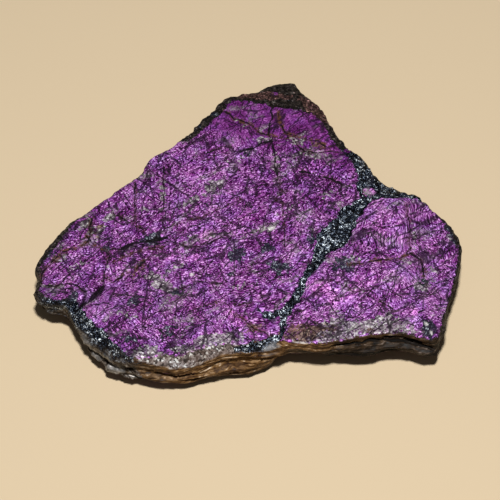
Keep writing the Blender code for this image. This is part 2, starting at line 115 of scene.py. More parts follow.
# Cracks across the face: path, half width, depth, how rusty
CRACKS = [
    ([(-30.2, -11.6), (-29.0, -10.6), (-27.8, -9.6), (-26.4, -8.4), (-26.0, -7.0)], 0.6, 0.9, 0.0),
    ([(-26.0, -7.0), (-25.4, -4.2), (-25.0, -2.6), (-24.8, -1.0), (-25.4, 0.0)], 0.17, 0.15, 0.3),
    ([(-22.6, 0.6), (-21.6, 1.0), (-20.0, 1.9), (-18.0, 2.2), (-14.6, 2.7)], 0.36, 0.4, 0.0),
    ([(-24.8, 0.2), (-22.6, 0.6)], 0.16, 0.1, 0.3),
    ([(-17.4, 2.4), (-15.9, 3.6), (-14.9, 4.6)], 0.18, 0.2, 0.0),
    ([(-18.0, 1.9), (-16.2, 1.4), (-14.0, 1.9)], 0.18, 0.2, 0.0),
    ([(-33.0, -0.2), (-31.0, 0.4), (-29.8, 1.0), (-28.2, 2.2), (-27.0, 0.8), (-26.0, 0.2)],
     0.16, 0.15, 0.9),
    ([(-36.2, -6.8), (-36.5, -6.0), (-36.2, -4.4), (-35.0, -2.8), (-33.0, -0.2)], 0.17, 0.15, 0.6),
    ([(-29.0, 3.2), (-28.2, 2.2)], 0.15, 0.1, 0.9),
    ([(-27.9, 6.8), (-28.3, 4.4), (-28.2, 2.2)], 0.15, 0.1, 0.5),
    ([(-25.0, -2.6), (-22.6, -1.9), (-20.6, -0.6), (-18.6, 0.3), (-15.6, 0.6)], 0.14, 0.1, 0.6),
    ([(-25.6, -5.6), (-23.6, -6.4), (-22.0, -4.8), (-20.0, -3.8), (-18.6, -2.2)], 0.16, 0.15, 0.7),
    ([(-35.6, -7.3), (-33.0, -7.0), (-30.6, -7.2), (-28.6, -8.4)], 0.2, 0.12, 0.3),
    ([(-20.6, 14.4), (-20.7, 10.6), (-20.5, 8.0), (-20.8, 5.6), (-19.0, 4.2)], 0.16, 0.14, 0.5),
    ([(-20.8, 5.6), (-23.6, 7.2), (-24.8, 8.2)], 0.14, 0.1, 0.2),
    ([(-15.6, 18.0), (-15.3, 11.0), (-15.6, 5.6), (-15.2, 4.4)], 0.16, 0.12, 0.1),
    ([(-14.9, 4.6), (-11.0, 6.4), (-7.4, 7.6), (-4.0, 9.6), (-1.0, 11.4)], 0.14, 0.1, 0.4),
    ([(-14.0, 1.9), (-10.8, 0.6), (-8.4, 1.0), (-5.0, 2.6), (-1.8, 3.2), (2.6, 4.4)],
     0.14, 0.1, 0.2),
    ([(-4.4, 30.4), (-2.9, 28.8), (-0.5, 27.7), (1.8, 25.9), (3.4, 25.2), (5.3, 24.6), (7.4, 24.2)],
     0.19, 0.2, 0.9),
    ([(4.2, 32.0), (3.8, 28.8), (3.4, 26.2), (3.7, 24.1), (4.2, 22.2), (4.6, 19.6), (4.7, 16.2)],
     0.2, 0.2, 0.1),
    ([(4.7, 16.2), (5.2, 14.0), (6.0, 8.0), (6.2, 0.0)], 0.13, 0.1, 0.3),
    ([(5.0, 30.4), (5.4, 27.6), (6.4, 25.6), (9.0, 24.4), (12.6, 23.4), (14.4, 22.4)],
     0.14, 0.1, 0.9),
    ([(-8.4, 20.6), (-6.8, 21.7), (-5.3, 22.5), (-2.9, 22.7)], 0.18, 0.15, 0.2),
    ([(-8.7, 19.3), (-7.4, 19.6), (-6.3, 20.4), (-4.0, 20.9)], 0.15, 0.1, 0.3),
    ([(-1.8, 21.2), (0.0, 22.2), (1.8, 23.0), (2.9, 23.7), (6.3, 24.0)], 0.26, 0.2, 0.0),
    ([(7.9, 24.0), (9.7, 21.7), (11.0, 21.2), (13.9, 21.4), (16.2, 21.2)], 0.18, 0.15, 0.4),
    ([(9.0, 17.0), (10.0, 16.9), (11.6, 16.7), (13.9, 15.6), (16.0, 14.6), (18.4, 13.6)],
     0.22, 0.2, 0.2),
    ([(27.8, 10.0), (28.2, 7.0), (28.4, 4.5), (28.0, 1.5), (28.3, -0.3)], 0.15, 0.12, 0.5),
    ([(17.4, -2.9), (18.0, -2.8), (20.5, -2.5), (22.5, -1.9), (24.0, -1.9), (26.5, -1.5), (28.3, -0.3)],
     0.14, 0.12, 1.0),
    ([(28.3, -0.3), (29.5, -1.5), (30.5, -4.0), (30.2, -5.4)], 0.2, 0.15, 0.3),
    ([(29.6, -7.0), (30.7, -7.2), (33.0, -6.5), (36.0, -5.6)], 0.16, 0.12, 0.1),
    ([(22.4, -10.5), (24.2, -11.8), (25.5, -12.6)], 0.17, 0.14, 0.3),
    ([(29.2, -12.8), (31.0, -11.4), (33.7, -11.1), (35.4, -11.0)], 0.2, 0.15, 0.0),
    ([(7.9, -12.0), (10.0, -13.9), (11.8, -15.0)], 0.18, 0.14, 0.2),
    ([(28.4, 4.5), (31.0, 0.6), (33.4, -1.8), (36.6, -2.6)], 0.13, 0.1, 0.1),
    ([(12.6, 6.4), (11.2, 8.6), (10.4, 9.6)], 0.13, 0.1, 0.2),
    ([(-12.6, -21.2), (-14.2, -18.4), (-15.4, -16.2), (-17.6, -15.4)], 0.15, 0.12, 0.1),
    ([(-3.2, -12.8), (-1.2, -14.2), (0.6, -16.0), (3.4, -17.2)], 0.14, 0.1, 0.8),
    ([(-24.0, -9.6), (-20.6, -9.2), (-17.0, -11.2), (-13.6, -11.0), (-10.6, -9.2)],
     0.13, 0.08, 0.1),
    ([(-12.4, -8.0), (-9.6, -6.4), (-6.0, -6.8), (-1.0, -4.6), (2.0, -1.4)], 0.13, 0.08, 0.2),
    ([(-22.0, -6.0), (-17.0, -1.0), (-12.0, 4.0)], 0.12, 0.08, 0.2),
    ([(-8.0, 3.0), (-2.4, 6.4), (3.0, 9.0), (6.4, 12.6)], 0.13, 0.08, 0.2),
    ([(-28.6, -12.2), (-25.4, -10.8), (-21.6, -12.2), (-19.4, -16.2)], 0.12, 0.08, 0.0),
    ([(-9.6, -12.0), (-5.4, -10.6), (-1.4, -11.6), (2.2, -9.8)], 0.12, 0.08, 0.3),
    ([(19.4, 8.0), (22.4, 5.2), (25.2, 4.6), (28.2, 6.8), (32.2, 8.6)], 0.12, 0.08, 0.1),
    ([(14.0, -6.0), (18.0, -8.6), (22.6, -8.0), (27.0, -9.8), (31.4, -9.0)], 0.13, 0.08, 0.2),
]

# Stains and spots on the face: x, y, half length, half width, turn in degrees, strength
GREY_STAINS = [
    (-29.2, 5.6, 2.0, 1.1, 40, 0.9), (-24.9, 7.0, 1.6, 0.9, 50, 0.9),
    (-6.4, 13.9, 2.0, 1.2, 25, 0.9), (-15.4, -7.0, 4.6, 1.3, -38, 0.9),
    (-34.6, -7.4, 2.4, 0.6, 0, 0.9), (-27.2, 4.4, 2.2, 1.2, 30, 0.65),
    (-18.0, -20.8, 3.4, 1.5, 5, 1.0), (-5.6, -18.2, 5.0, 1.5, 8, 1.0),
    (-11.6, -20.2, 2.6, 1.0, 12, 0.9), (-13.6, -4.0, 2.6, 0.7, 35, 0.6),
    (-10.8, 2.2, 2.6, 0.7, 30, 0.6), (14.8, -16.6, 5.6, 2.8, 8, 1.0),
    (22.4, -15.6, 5.2, 2.2, 4, 1.0), (10.6, -17.6, 4.4, 1.8, 6, 0.9), (2.4, 4.6, 4.4, 0.7, 27, 0.7),
    (11.6, 20.4, 2.6, 0.9, -15, 0.7), (4.6, 18.4, 1.0, 3.0, 0, 0.7), (2.4, 24.2, 2.8, 0.8, 10, 0.6),
    (-15.6, 12.4, 0.8, 4.2, 0, 0.6), (-10.4, 10.4, 2.8, 0.9, 30, 0.6),
    (17.6, -1.6, 2.2, 1.0, 10, 0.6), (29.7, -7.4, 1.9, 1.4, 20, 0.9),
    (27.4, -2.2, 2.6, 0.9, 10, 0.55), (8.6, 23.6, 2.2, 0.8, 0, 0.6),
    (-21.4, -13.2, 3.0, 0.8, -30, 0.45), (-33.0, -1.6, 1.8, 0.9, 30, 0.6),
    (26.0, -16.6, 3.6, 0.9, 0, 0.7), (10.6, 4.2, 1.8, 0.8, 30, 0.45),
    (-2.4, 19.6, 2.6, 0.8, 15, 0.5), (31.6, -5.2, 1.6, 2.4, -20, 0.45),
    (-30.4, -3.4, 2.4, 0.7, 30, 0.5), (-19.0, 8.8, 1.4, 0.7, 0, 0.5),
    (14.0, 12.0, 1.8, 0.7, 40, 0.5), (24.4, -6.0, 3.0, 0.8, 20, 0.4), (0.4, 28.4, 0.8, 2.2, 0, 0.4),
    (-1.6, -7.4, 3.2, 0.7, 15, 0.45), (6.6, 8.8, 3.0, 0.7, 35, 0.45), (29.0, 3.0, 0.7, 3.2, 0, 0.5),
    (-6.4, 3.0, 2.8, 0.6, 28, 0.45),
]
BLACK_SPOTS = [
    (-2.5, -1.0, 2.3, 1.7, 20, 0.9), (5.1, -3.6, 2.2, 1.5, 5, 1.0), (3.0, 0.3, 1.7, 1.1, 20, 0.85),
    (-17.4, 2.4, 2.6, 1.3, 12, 0.9), (-25.6, 0.2, 1.1, 0.8, 0, 0.85),
    (16.6, -3.2, 2.4, 1.8, -30, 0.8), (30.1, -6.7, 1.2, 0.9, 0, 0.7),
    (30.9, -16.2, 1.5, 2.0, 10, 1.0), (-14.4, -17.0, 0.6, 0.6, 0, 0.6),
    (10.7, 2.4, 0.9, 1.4, 0, 0.7), (-7.6, 9.4, 0.7, 1.3, -20, 0.5), (-3.4, -5.4, 0.9, 0.9, 0, 0.5),
    (9.2, 12.2, 1.2, 0.6, 40, 0.45), (-30.6, -9.6, 1.1, 0.7, 40, 0.9),
    (-0.6, 21.0, 1.2, 0.8, 30, 0.55), (23.4, 12.0, 2.6, 0.8, -5, 0.95),
    (27.4, 11.9, 1.2, 0.9, 0, 0.95), (-6.9, 30.2, 0.9, 1.4, 40, 0.95),
    (-9.6, 27.6, 0.6, 1.2, 30, 0.85), (21.6, 15.2, 0.9, 1.8, -15, 0.85),
    (-12.6, -8.8, 1.5, 0.5, 0, 0.8), (12.6, 19.0, 1.0, 0.6, 0, 0.45),
    (-21.0, -18.6, 1.0, 0.8, 0, 0.4), (28.2, 9.6, 0.7, 0.9, 0, 0.4),
    (18.6, -14.4, 1.6, 0.7, 10, 0.45), (-9.6, 5.6, 1.0, 0.6, 30, 0.4),
    (-34.8, -0.8, 0.8, 1.2, -30, 0.5), (-20.2, -10.8, 1.4, 0.9, 20, 0.64),
    (-14.5, -17.2, 1.6, 1.1, 10, 0.62), (-21.0, -18.2, 1.3, 1.0, 0, 0.6),
    (35.9, 2.4, 0.7, 1.7, 20, 0.95), (35.0, 4.6, 0.5, 1.2, 30, 0.8),
]
RUST_STAINS = [
    (9.2, -16.8, 4.0, 2.3, 8, 1.0), (-33.9, -1.7, 1.7, 1.0, 30, 0.7),
    (13.0, -16.0, 2.6, 1.4, 0, 0.6), (-27.6, 3.6, 1.6, 0.8, -40, 0.5),
    (0.6, -16.2, 2.4, 0.9, 30, 0.7), (-19.6, -4.6, 2.4, 1.2, 40, 0.45),
    (30.4, -4.8, 0.9, 1.3, 0, 0.6), (12.6, 22.6, 1.8, 1.0, -20, 0.6),
    (-1.6, 28.0, 1.8, 0.6, -30, 0.6), (22.6, -10.6, 0.7, 0.5, 0, 0.5),
    (-26.6, 5.0, 1.0, 0.6, 30, 0.6), (-6.0, -11.0, 1.8, 0.6, 30, 0.45),
    (20.6, -16.4, 2.4, 0.7, 5, 0.5), (-22.0, -1.0, 1.6, 0.6, 30, 0.4),
    (12.4, 31.0, 5.4, 1.7, -48, 1.0), (2.0, 34.4, 6.0, 1.2, 0, 0.8),
]
BLUE_ARCS = [
    ([(-21.0, -10.9), (-20.4, -9.9), (-19.6, -9.6), (-18.7, -9.8)], 0.5, 1.0),
    ([(-15.3, -16.3), (-14.4, -15.6), (-13.4, -15.5), (-12.6, -15.9)], 0.4, 1.0),
    ([(-21.6, -17.2), (-20.8, -16.9), (-20.0, -17.4), (-19.8, -18.4), (-20.4, -19.3)], 0.35, 0.8),
    ([(-15.4, -16.4), (-15.2, -17.6), (-14.6, -18.8)], 0.3, 0.5),
]
# Pale flecks: partly white crystals, partly painted glints on the black spots and rims
PALE_FLECKS_AND_GLINTS = [
    (-0.9, 27.1, 0.5, 0.35, 0, 1.0), (-2.5, 28.3, 0.3, 0.25, 0, 1.0),
    (3.5, 4.5, 1.7, 0.45, 20, 1.0), (-10.2, -5.0, 0.4, 0.35, 0, 1.0),
    (7.4, 24.3, 0.25, 0.2, 0, 1.0), (10.6, 21.4, 0.3, 0.2, 0, 0.8),
    (30.4, -15.2, 0.25, 0.5, 20, 0.9), (31.2, -17.0, 0.2, 0.5, 10, 0.9),
    (29.8, -16.6, 0.2, 0.3, 0, 0.9), (31.6, -13.4, 0.4, 0.2, 20, 0.5),
    (9.0, -18.9, 1.6, 0.14, -3, 0.7), (12.6, -18.8, 1.4, 0.12, 6, 0.6),
    (35.2, 2.6, 0.3, 0.5, 20, 0.9), (17.6, -16.0, 1.6, 0.3, 35, 0.4),
    (-24.9, -3.4, 0.25, 0.5, 0, 0.6), (21.3, 13.0, 1.1, 0.8, 0, 0.42),
]
PINK_GLOWS = [
    (-18.8, -15.0, 1.2, 0.6, 10, 1.0), (-10.2, 16.0, 1.6, 1.6, 0, 0.7),
    (28.5, -12.8, 0.9, 1.0, 0, 1.0), (-7.6, 3.6, 2.2, 1.6, 20, 0.6),
    (11.6, -8.0, 2.4, 3.0, 30, 0.7), (16.0, -10.0, 3.0, 2.0, 20, 0.6),
    (-1.4, -14.6, 3.6, 1.6, -50, 0.6), (24.4, 5.0, 2.6, 3.4, 40, 0.5),
    (-14.2, -0.8, 1.6, 2.0, 60, 0.6), (-30.2, 4.4, 1.2, 0.8, 40, 0.5),
    (20.0, -6.2, 3.0, 2.0, 10, 0.5), (0.4, 7.6, 3.4, 2.0, 30, 0.35),
    (32.6, -0.6, 1.2, 3.0, 20, 0.4), (-9.0, -13.0, 2.6, 1.2, -35, 0.4),
    (-5.4, 17.0, 2.4, 1.6, 20, 0.35), (21.4, 12.9, 1.9, 1.6, 0, 2.2),
    (-10.0, -1.6, 1.2, 0.8, 20, 0.7), (26.6, -12.0, 2.0, 1.4, 20, 0.6),
]

# Purple left in the crust beyond the face: x, y, radius
PURPLE_CHIPS = [(21.4, 12.9, 1.25), (4.6, 35.0, 0.6), (11.0, 31.6, 0.5), (17.6, 21.6, 0.5)]

# The grey chip at the front edge, as the stains above
GREY_CHIP = [(3.7, -19.6, 1.6, 0.9, 18, 1.0)]

# Lines along the lower right wall, as x and y + slope times z: a dark gap painted with shade, and the
# line below which painted shadow turns the wall black
SEEN_SLOPE = 0.65
SEAM_GAP = [
    (14.0, -19.9), (17.0, -19.4), (20.0, -18.75), (23.0, -18.45), (25.6, -18.5), (27.6, -18.9),
    (29.6, -19.6), (31.4, -20.3),
]
SHADOW_BELOW = [
    (8.0, -21.4), (12.0, -21.2), (16.0, -21.1), (20.0, -20.9), (22.4, -20.8), (25.0, -21.1),
    (28.0, -21.6), (30.0, -21.6), (32.0, -20.8), (34.0, -19.4), (36.0, -16.0),
]

# Glassy pebbles and grey rock in the wall: x, y, z, half sizes, strength
PEBBLES = [
    (-23.5, -21.3, -4.5, 2.1, 1.6, 1.4, 1.0), (-24.4, -20.6, -2.6, 1.6, 1.2, 0.7, 0.6),
    (-28.3, -17.4, -3.2, 1.7, 1.8, 1.3, 0.75), (-26.6, -18.8, -4.6, 1.6, 1.4, 0.9, 0.6),
    (-20.8, -22.6, -6.0, 1.5, 1.1, 0.7, 0.4),
]

# Light and dark parts of the purple: x, y, tone from -1 to 1
TONES = [
    (-33.0, -4.0, -0.5), (-30.0, 3.0, -0.45), (-25.0, 8.0, -0.5), (-17.0, 16.0, -0.1),
    (-10.0, 16.0, 0.4), (-9.0, 24.0, -0.6), (-3.0, 30.0, -0.3), (3.0, 28.0, -0.5),
    (10.0, 28.0, -0.6), (14.0, 22.0, -0.8), (12.0, 17.0, -0.5), (0.0, 18.0, -0.1),
    (7.0, 14.0, -0.1), (-5.0, 10.0, 0.1), (3.0, 7.0, 0.2), (-15.0, 8.0, 0.1), (-22.0, 2.0, -0.45),
    (-13.0, 0.0, 0.2), (-7.0, 4.0, 0.4), (0.0, -4.0, 0.0), (-9.0, -4.0, -0.2), (-22.0, -8.0, -0.2),
    (-26.0, -13.0, -0.15), (-18.0, -13.0, -0.3), (-15.0, -17.0, -0.3), (-8.0, -13.0, -0.2),
    (-2.0, -14.0, 0.3), (4.0, -9.0, 0.0), (8.0, -2.0, 0.1), (11.0, -8.0, 0.6), (16.0, -9.0, 0.4),
    (15.0, -13.0, 0.4), (22.0, -8.0, 0.4), (27.0, -11.0, 0.3), (22.0, 6.0, 0.45), (30.0, 6.0, 0.1),
    (33.0, 0.0, 0.15), (25.0, 1.0, 0.5), (33.0, -9.0, 0.0), (22.0, -3.0, 0.35),
]

# Which way the fibres run: x, y, degrees
FIBRE_TURNS = [
    (-33.0, -4.0, 24.0), (-24.0, 6.0, 34.0), (-14.0, 14.0, 32.0), (0.0, 29.0, 84.0),
    (9.0, 27.0, 65.0), (-6.0, 22.0, 38.0), (3.0, 14.0, 32.0), (12.0, 14.0, 40.0), (-8.0, 8.0, 32.0),
    (-16.0, 2.0, 26.0), (-12.0, -6.0, 6.0), (-24.0, -6.0, 30.0), (-22.0, -14.0, -30.0),
    (-14.0, -13.0, -34.0), (-3.0, -14.0, -54.0), (2.0, -6.0, 18.0), (8.0, 4.0, 34.0),
    (24.0, 6.0, 56.0), (32.0, 4.0, -48.0), (34.0, -4.0, -55.0), (24.0, -5.0, 30.0),
    (14.0, -8.0, 38.0), (16.0, -13.0, 20.0), (29.0, -14.0, 8.0),
]

# Depths and heights of the carving, in mm
SKIN_GRAIN = 0.215
DOMAIN_SPACING = 3.2
DOMAIN_TILT = 0.035
DOMAIN_STEP = 0.03
FIBRE_RIPPLE = 0.015
VEIN_CARVE = 0.3
GRAIN_LUMP = 0.17
BAND_LUMP = 0.15
WALL_LEDGE = 0.15
WALL_ROUGH = 0.17
CRUST_ROUGH = 0.16
PEBBLE_LIFT = 0.4
GAP_DEPTH = 0.5
CHIP_LIFT = 0.1
STAIN_DIP = 0.05
UNDER_LUMP = 0.16
UNDER_GRAIN = 0.09

# The cleaved domains of the face: degrees from the x axis to their length, their shrink along
# that and across it, and how much the turn of their fibres (degrees) and their tone vary
DOMAIN_LEAN = 32.0
DOMAIN_SHAPE = (0.62, 1.3)
TURN_SPREAD = 16.0
TONE_SPREAD = 0.45

# How far the edges of the face, of its loose chips and of the vein wander, in mm
FACE_WANDER = 0.35
CHIP_WANDER = 0.3
VEIN_WANDER = 0.45

# Where each kind of surface starts to show and where it is whole. LEAN is how far the surface
# looks up or down. The others are in mm and grow in the direction that their name gives.
TOP_LEAN = (0.4, 0.75)
TOP_ABOVE = (-3.4, -2.6)
RIM_LEAN = (0.05, 0.4)
RIM_ABOVE = (-2.6, -1.6)
UNDER_LEAN = (0.35, 0.75)
RESTING_ABOVE = (-8.95, -8.6)
FRONT = (16.0, 18.0)
SEAM_RIGHT = (11.0, 13.0)
SEAM_FRONT = (14.5, 15.5)
SEAM_DEEP = (0.8, 1.1)
BAND_RIGHT = (-19.6, -18.4)
BAND_LEFT = (-0.6, 1.6)
SLOPE_LEFT = (19.1, 20.5)
SLOPE_FRONT = (9.4, 10.6)
NECK_RIGHT = (16.0, 18.0)
NECK_BACK = (8.0, 10.0)
CALM_BACK = (20.0, 27.0)

# Where the golden wall turns darker: how much, and from where to where along the wall
DARKER_LEFT = ((0.8, 25.0, 28.0), (0.45, 11.0, 18.0))
DARKER_RIGHT = ((0.7, 9.0, 17.0), (0.25, 29.0, 33.0))

# Plain colours of the stone's layers and of the floor
LINE_BLACK = (0.008, 0.003, 0.007, 1.0)
CRACK_BLACK = (0.006, 0.004, 0.005, 1.0)
SPOT_BLACK = (0.011, 0.011, 0.021, 1.0)
# Black of the painted shade and shadow on the lower right wall
SHADE_BLACK = (0.0035, 0.0025, 0.002, 1.0)
# Pale flecks, partly painted glints
PALE_FLECK_AND_GLINT = (0.7, 0.67, 0.64, 1.0)
COOL_TINT = (0.91, 0.97, 1.09, 1.0)
WARM_TINT = (1.18, 0.88, 1.08, 1.0)
RUSSET_TINT = (2.9, 1.9, 1.9, 1.0)
FLOOR_COLOUR = (0.58, 0.46, 0.305)


def deselect_all():
    """Leaves object mode with nothing selected."""
    if bpy.context.object and bpy.context.object.mode != "OBJECT":
        bpy.ops.object.mode_set(mode="OBJECT")
    bpy.ops.object.select_all(action="DESELECT")


def make_active(piece):
    """Selects one object alone and makes it active."""
    deselect_all()
    piece.select_set(True)
    bpy.context.view_layer.objects.active = piece


def apply_modifier(piece, kind, **values):
    """Adds a modifier with the given values and applies it."""
    make_active(piece)
    bpy.ops.object.modifier_add(type=kind)
    modifier = piece.modifiers[-1]
    for name, value in values.items():
        setattr(modifier, name, value)
    bpy.ops.object.modifier_apply(modifier=modifier.name)


def edit_chosen(piece, kind, chosen):
    """Opens a mesh for editing with only its chosen vertices or polygons selected."""
    make_active(piece)
    bpy.ops.object.mode_set(mode="EDIT")
    bpy.ops.mesh.select_all(action="DESELECT")
    bpy.ops.object.mode_set(mode="OBJECT")
    for element in getattr(piece.data, kind):
        element.select = chosen(element)
    bpy.ops.object.mode_set(mode="EDIT")


def from_face(places):
    """Places in metres as millimetres from the middle of the face."""
    return np.array(places) / MM - np.array(FACE_ZERO)


def read_vectors(mesh, name):
    """One vector of each vertex of a mesh."""
    flat = np.empty(len(mesh.vertices) * 3, dtype=np.float32)
    mesh.vertices.foreach_get(name, flat)
    return flat.reshape(-1, 3).astype(float)


def read_points(mesh):
    """The places of a mesh's vertices, in mm from the middle of the face."""
    return from_face(read_vectors(mesh, "co"))


def write_points(mesh, points):
    """Moves a mesh's vertices to places in mm from the middle of the face."""
    mesh.vertices.foreach_set("co", ((points + np.array(FACE_ZERO)) * MM).ravel())
    mesh.update()


def waves(points, sizes, seed):
    """Smooth noise between about -1 and 1, with waves of one size or of three, in mm."""
    shift = Vector((seed * 7.31, seed * 3.17, seed * 5.73))
    return np.array([noise.noise(Vector(place) + shift) for place in points / np.array(sizes)])


def rise(value, low, high):
    """0 below low, 1 above high, and a smooth rise between."""
    share = np.clip((value - low) / (high - low), 0.0, 1.0)
    return share * share * (3.0 - 2.0 * share)


def along_path(points, path):
    """Distance in plan from each point to a path, and the path's third value there."""
    best = np.full(len(points), np.inf)
    value = np.zeros(len(points))
    for start, end in zip(path[:-1], path[1:]):
        leg = np.array(end[:2]) - np.array(start[:2])
        away = points[:, :2] - np.array(start[:2])
        share = np.clip(away @ leg / (leg @ leg), 0.0, 1.0)
        distance = np.hypot(*(away - share[:, None] * leg).T)
        closer = distance < best
        best[closer] = distance[closer]
        if len(start) > 2:
            value[closer] = start[2] + share[closer] * (end[2] - start[2])
    return best, value


def into_outline(points, outline):
    """Distance in plan that each point lies inside a closed outline, below 0 outside it."""
    distance = along_path(points, outline + outline[:1])[0]
    inner = np.zeros(len(points), dtype=bool)
    for (x1, y1), (x2, y2) in zip(outline, outline[1:] + outline[:1]):
        if y1 == y2:
            continue
        crosses = (y1 > points[:, 1]) != (y2 > points[:, 1])
        inner ^= crosses & (points[:, 0] < (x2 - x1) * (points[:, 1] - y1) / (y2 - y1) + x1)
    return np.where(inner, distance, -distance)


def spots(points, table, ragged):
    """How strongly each point lies in any of the oval spots of a table, with soft rims."""
    total = np.zeros(len(points))
    for x, y, half_length, half_width, turn, strength in table:
        angle = math.radians(turn)
        dx = points[:, 0] - x
        dy = points[:, 1] - y
        along = (dx * math.cos(angle) + dy * math.sin(angle)) / half_length
        across = (dy * math.cos(angle) - dx * math.sin(angle)) / half_width
        reach = np.hypot(along, across) + 0.5 * ragged
        total = np.maximum(total, strength * (1.0 - rise(reach, 0.4, 1.3)))
    return total


def blended(points, table):
    """A value at each point, blended from the places of a table, the nearest ones most."""
    weights = np.zeros(len(points))
    total = np.zeros(len(points))
    for x, y, value in table:
        near = 1.0 / (1.0 + (points[:, 0] - x) ** 2 + (points[:, 1] - y) ** 2) ** 1.5
        weights += near
        total += near * value
    return total / weights


def crystal_domains(points):
    """Splits the face into small cleaved domains: each point's domain, their middles, and the dice."""
    rng = np.random.default_rng(41)
    columns = int(88.0 / DOMAIN_SPACING)
    grid = np.stack(np.meshgrid(np.arange(columns), np.arange(columns)), axis=-1).reshape(-1, 2)
    corner = np.array((-44.0, -34.0))
    seeds = (grid + rng.uniform(0.0, 1.0, grid.shape)) * DOMAIN_SPACING + corner
    best = np.full(len(points), np.inf)
    owner = np.zeros(len(points), dtype=int)
    warp = [waves(points, (2.6, 2.6, 30.0), 21), waves(points, (2.6, 2.6, 30.0), 22)]
    warped = points[:, :2] + 0.9 * np.stack(warp, axis=-1)
    lean = math.radians(DOMAIN_LEAN)
    turn = np.array(((math.cos(lean), math.sin(lean)), (-math.sin(lean), math.cos(lean))))
    for index, seed in enumerate(seeds):
        reach = ((warped - seed) @ turn.T) * np.array(DOMAIN_SHAPE)
        distance = np.einsum("ij,ij->i", reach, reach)
        closer = distance < best
        best[closer] = distance[closer]
        owner[closer] = index
    return owner, seeds, rng


class Surface:
    """What every point of the slab's skin is made of, and where its edges lie."""

    def __init__(self, mesh):
        self.points = read_points(mesh)
        self.normals = read_vectors(mesh, "normal")
        self.ragged = waves(self.points, 0.9, 1)
        self.broad = waves(self.points, 3.2, 2)
        self.wander()
        self.face_and_vein()
        self.slopes_and_crust()
        self.crack_fields()
        self.stains()
        self.seam_lines()
        self.wall_tint()

    def wander(self):
        """The points shifted a little, so that paths drawn over them look broken."""
        self.wandered = self.points.copy()
        for axis in (0, 1):
            self.wandered[:, axis] += 0.32 * waves(self.points, (1.9, 1.9, 30.0), axis + 10)
            self.wandered[:, axis] += 0.16 * waves(self.points, (0.7, 0.7, 30.0), axis + 12)

    def face_and_vein(self):
        """The top of the stone, and how far into the face and the vein each point lies."""
        x, y, z = self.points.T
        inside = into_outline(self.points, FACE) + FACE_WANDER * (self.ragged + self.broad)
        for chip_x, chip_y, radius in PURPLE_CHIPS:
            chip = radius - np.hypot(x - chip_x, y - chip_y) + CHIP_WANDER * self.ragged
            inside = np.maximum(inside, chip)
        self.face_in = np.clip(inside, -2.0, 2.0)
        in_seam = rise(x, *SEAM_RIGHT) * rise(-y, *SEAM_FRONT) * rise(-z, *SEAM_DEEP)
        self.top = rise(self.normals[:, 2], *TOP_LEAN) * rise(z, *TOP_ABOVE) * (1.0 - in_seam)
        self.face = self.top * rise(inside, -0.15, 0.15)
        vein = np.full(len(x), -9.0)
        for path in (VEIN, VEIN_BRANCH):
            distance, half_width = along_path(self.wandered, path)
            vein = np.maximum(vein, half_width - distance)
        self.vein_in = np.clip(vein + VEIN_WANDER * self.ragged + 0.2 * self.broad, -1.5, 1.5)

    def slopes_and_crust(self):
        """The grey band in front, the slope with its rock on the left and the crust behind."""
        x, y, z = self.points.T
        up = self.normals[:, 2]
        front = rise(-y, *FRONT)
        self.band = self.top * front * rise(x, *BAND_RIGHT) * rise(-x, *BAND_LEFT)
        self.underside = rise(-up, *UNDER_LEAN)
        leftward = -x - 0.25 * np.minimum(z + 1.0, 0.0) + 0.7 * self.broad
        self.left_slope = rise(leftward, *SLOPE_LEFT) * rise(-y, *SLOPE_FRONT)
        self.left_slope *= 1.0 - self.underside
        self.rock = self.left_slope * rise(0.8 * self.broad + 0.22 * (x + 26.5) - z, 1.0, 2.2)
        self.rock *= 1.0 - 0.5 * self.top
        rim = rise(up, *RIM_LEAN) * rise(z, *RIM_ABOVE)
        self.crust = np.maximum(self.top, rim) * (1.0 - front) * (1.0 - self.left_slope)
        self.neck = self.crust * rise(x + self.broad, *NECK_RIGHT) * rise(y, *NECK_BACK)
        self.calm = rise(y + 0.3 * x + 2.0 * self.broad, *CALM_BACK)

    def crack_fields(self):
        """How far each point lies inside a crack, and how rusty and how deep it is."""
        self.crack_in = np.full(len(self.points), -1.0)
        self.crack_rust = np.zeros(len(self.points))
        self.crack_depth = np.zeros(len(self.points))
        thin = 0.78 + 0.65 * waves(self.points, (2.2, 2.2, 30.0), 14)
        for path, half_width, depth, rusty in CRACKS:
            distance = along_path(self.wandered, path)[0]
            self.crack_in = np.maximum(self.crack_in, half_width * thin - distance)
            rim = rise(half_width * thin + 0.5 - distance, 0.0, 0.5)
            self.crack_rust = np.maximum(self.crack_rust, rim * rusty)
            groove = np.clip(1.0 - distance / (half_width * 1.2 + 0.1), 0.0, 1.0)
            self.crack_depth = np.maximum(self.crack_depth, depth * groove)
        self.crack_in = np.where(self.top > 0.5, self.crack_in, -1.0)
        self.crack_depth *= self.top

    def stains(self):
        """The stains, spots and flecks of the face (some flecks are painted glints), the grey chip and
        the wall's pebbles.
        """
        self.grey = spots(self.points, GREY_STAINS, self.ragged)
        self.black = self.top * spots(self.points, BLACK_SPOTS, self.ragged)
        for path, half_width, strength in BLUE_ARCS:
            near = rise(half_width - along_path(self.wandered, path)[0], 0.0, half_width * 0.7)
            self.black = np.maximum(self.black, self.top * strength * near)
        self.rust = spots(self.points, RUST_STAINS, self.ragged)
        self.pale = self.top * spots(self.points, PALE_FLECKS_AND_GLINTS, 0.4 * self.ragged)
        self.glow = spots(self.points, PINK_GLOWS, 0.5 * self.broad)
        self.chip = self.top * spots(self.points, GREY_CHIP, self.ragged)
        self.pebbles = np.zeros(len(self.points))
        for *middle, wide, deep, high, strength in PEBBLES:
            reach = (self.points - np.array(middle)) / np.array((wide, deep, high))
            reach = np.sqrt(np.einsum("ij,ij->i", reach, reach)) + 0.35 * self.ragged
            near = strength * (1.0 - rise(reach, 0.75, 1.1))
            self.pebbles = np.maximum(self.pebbles, near)

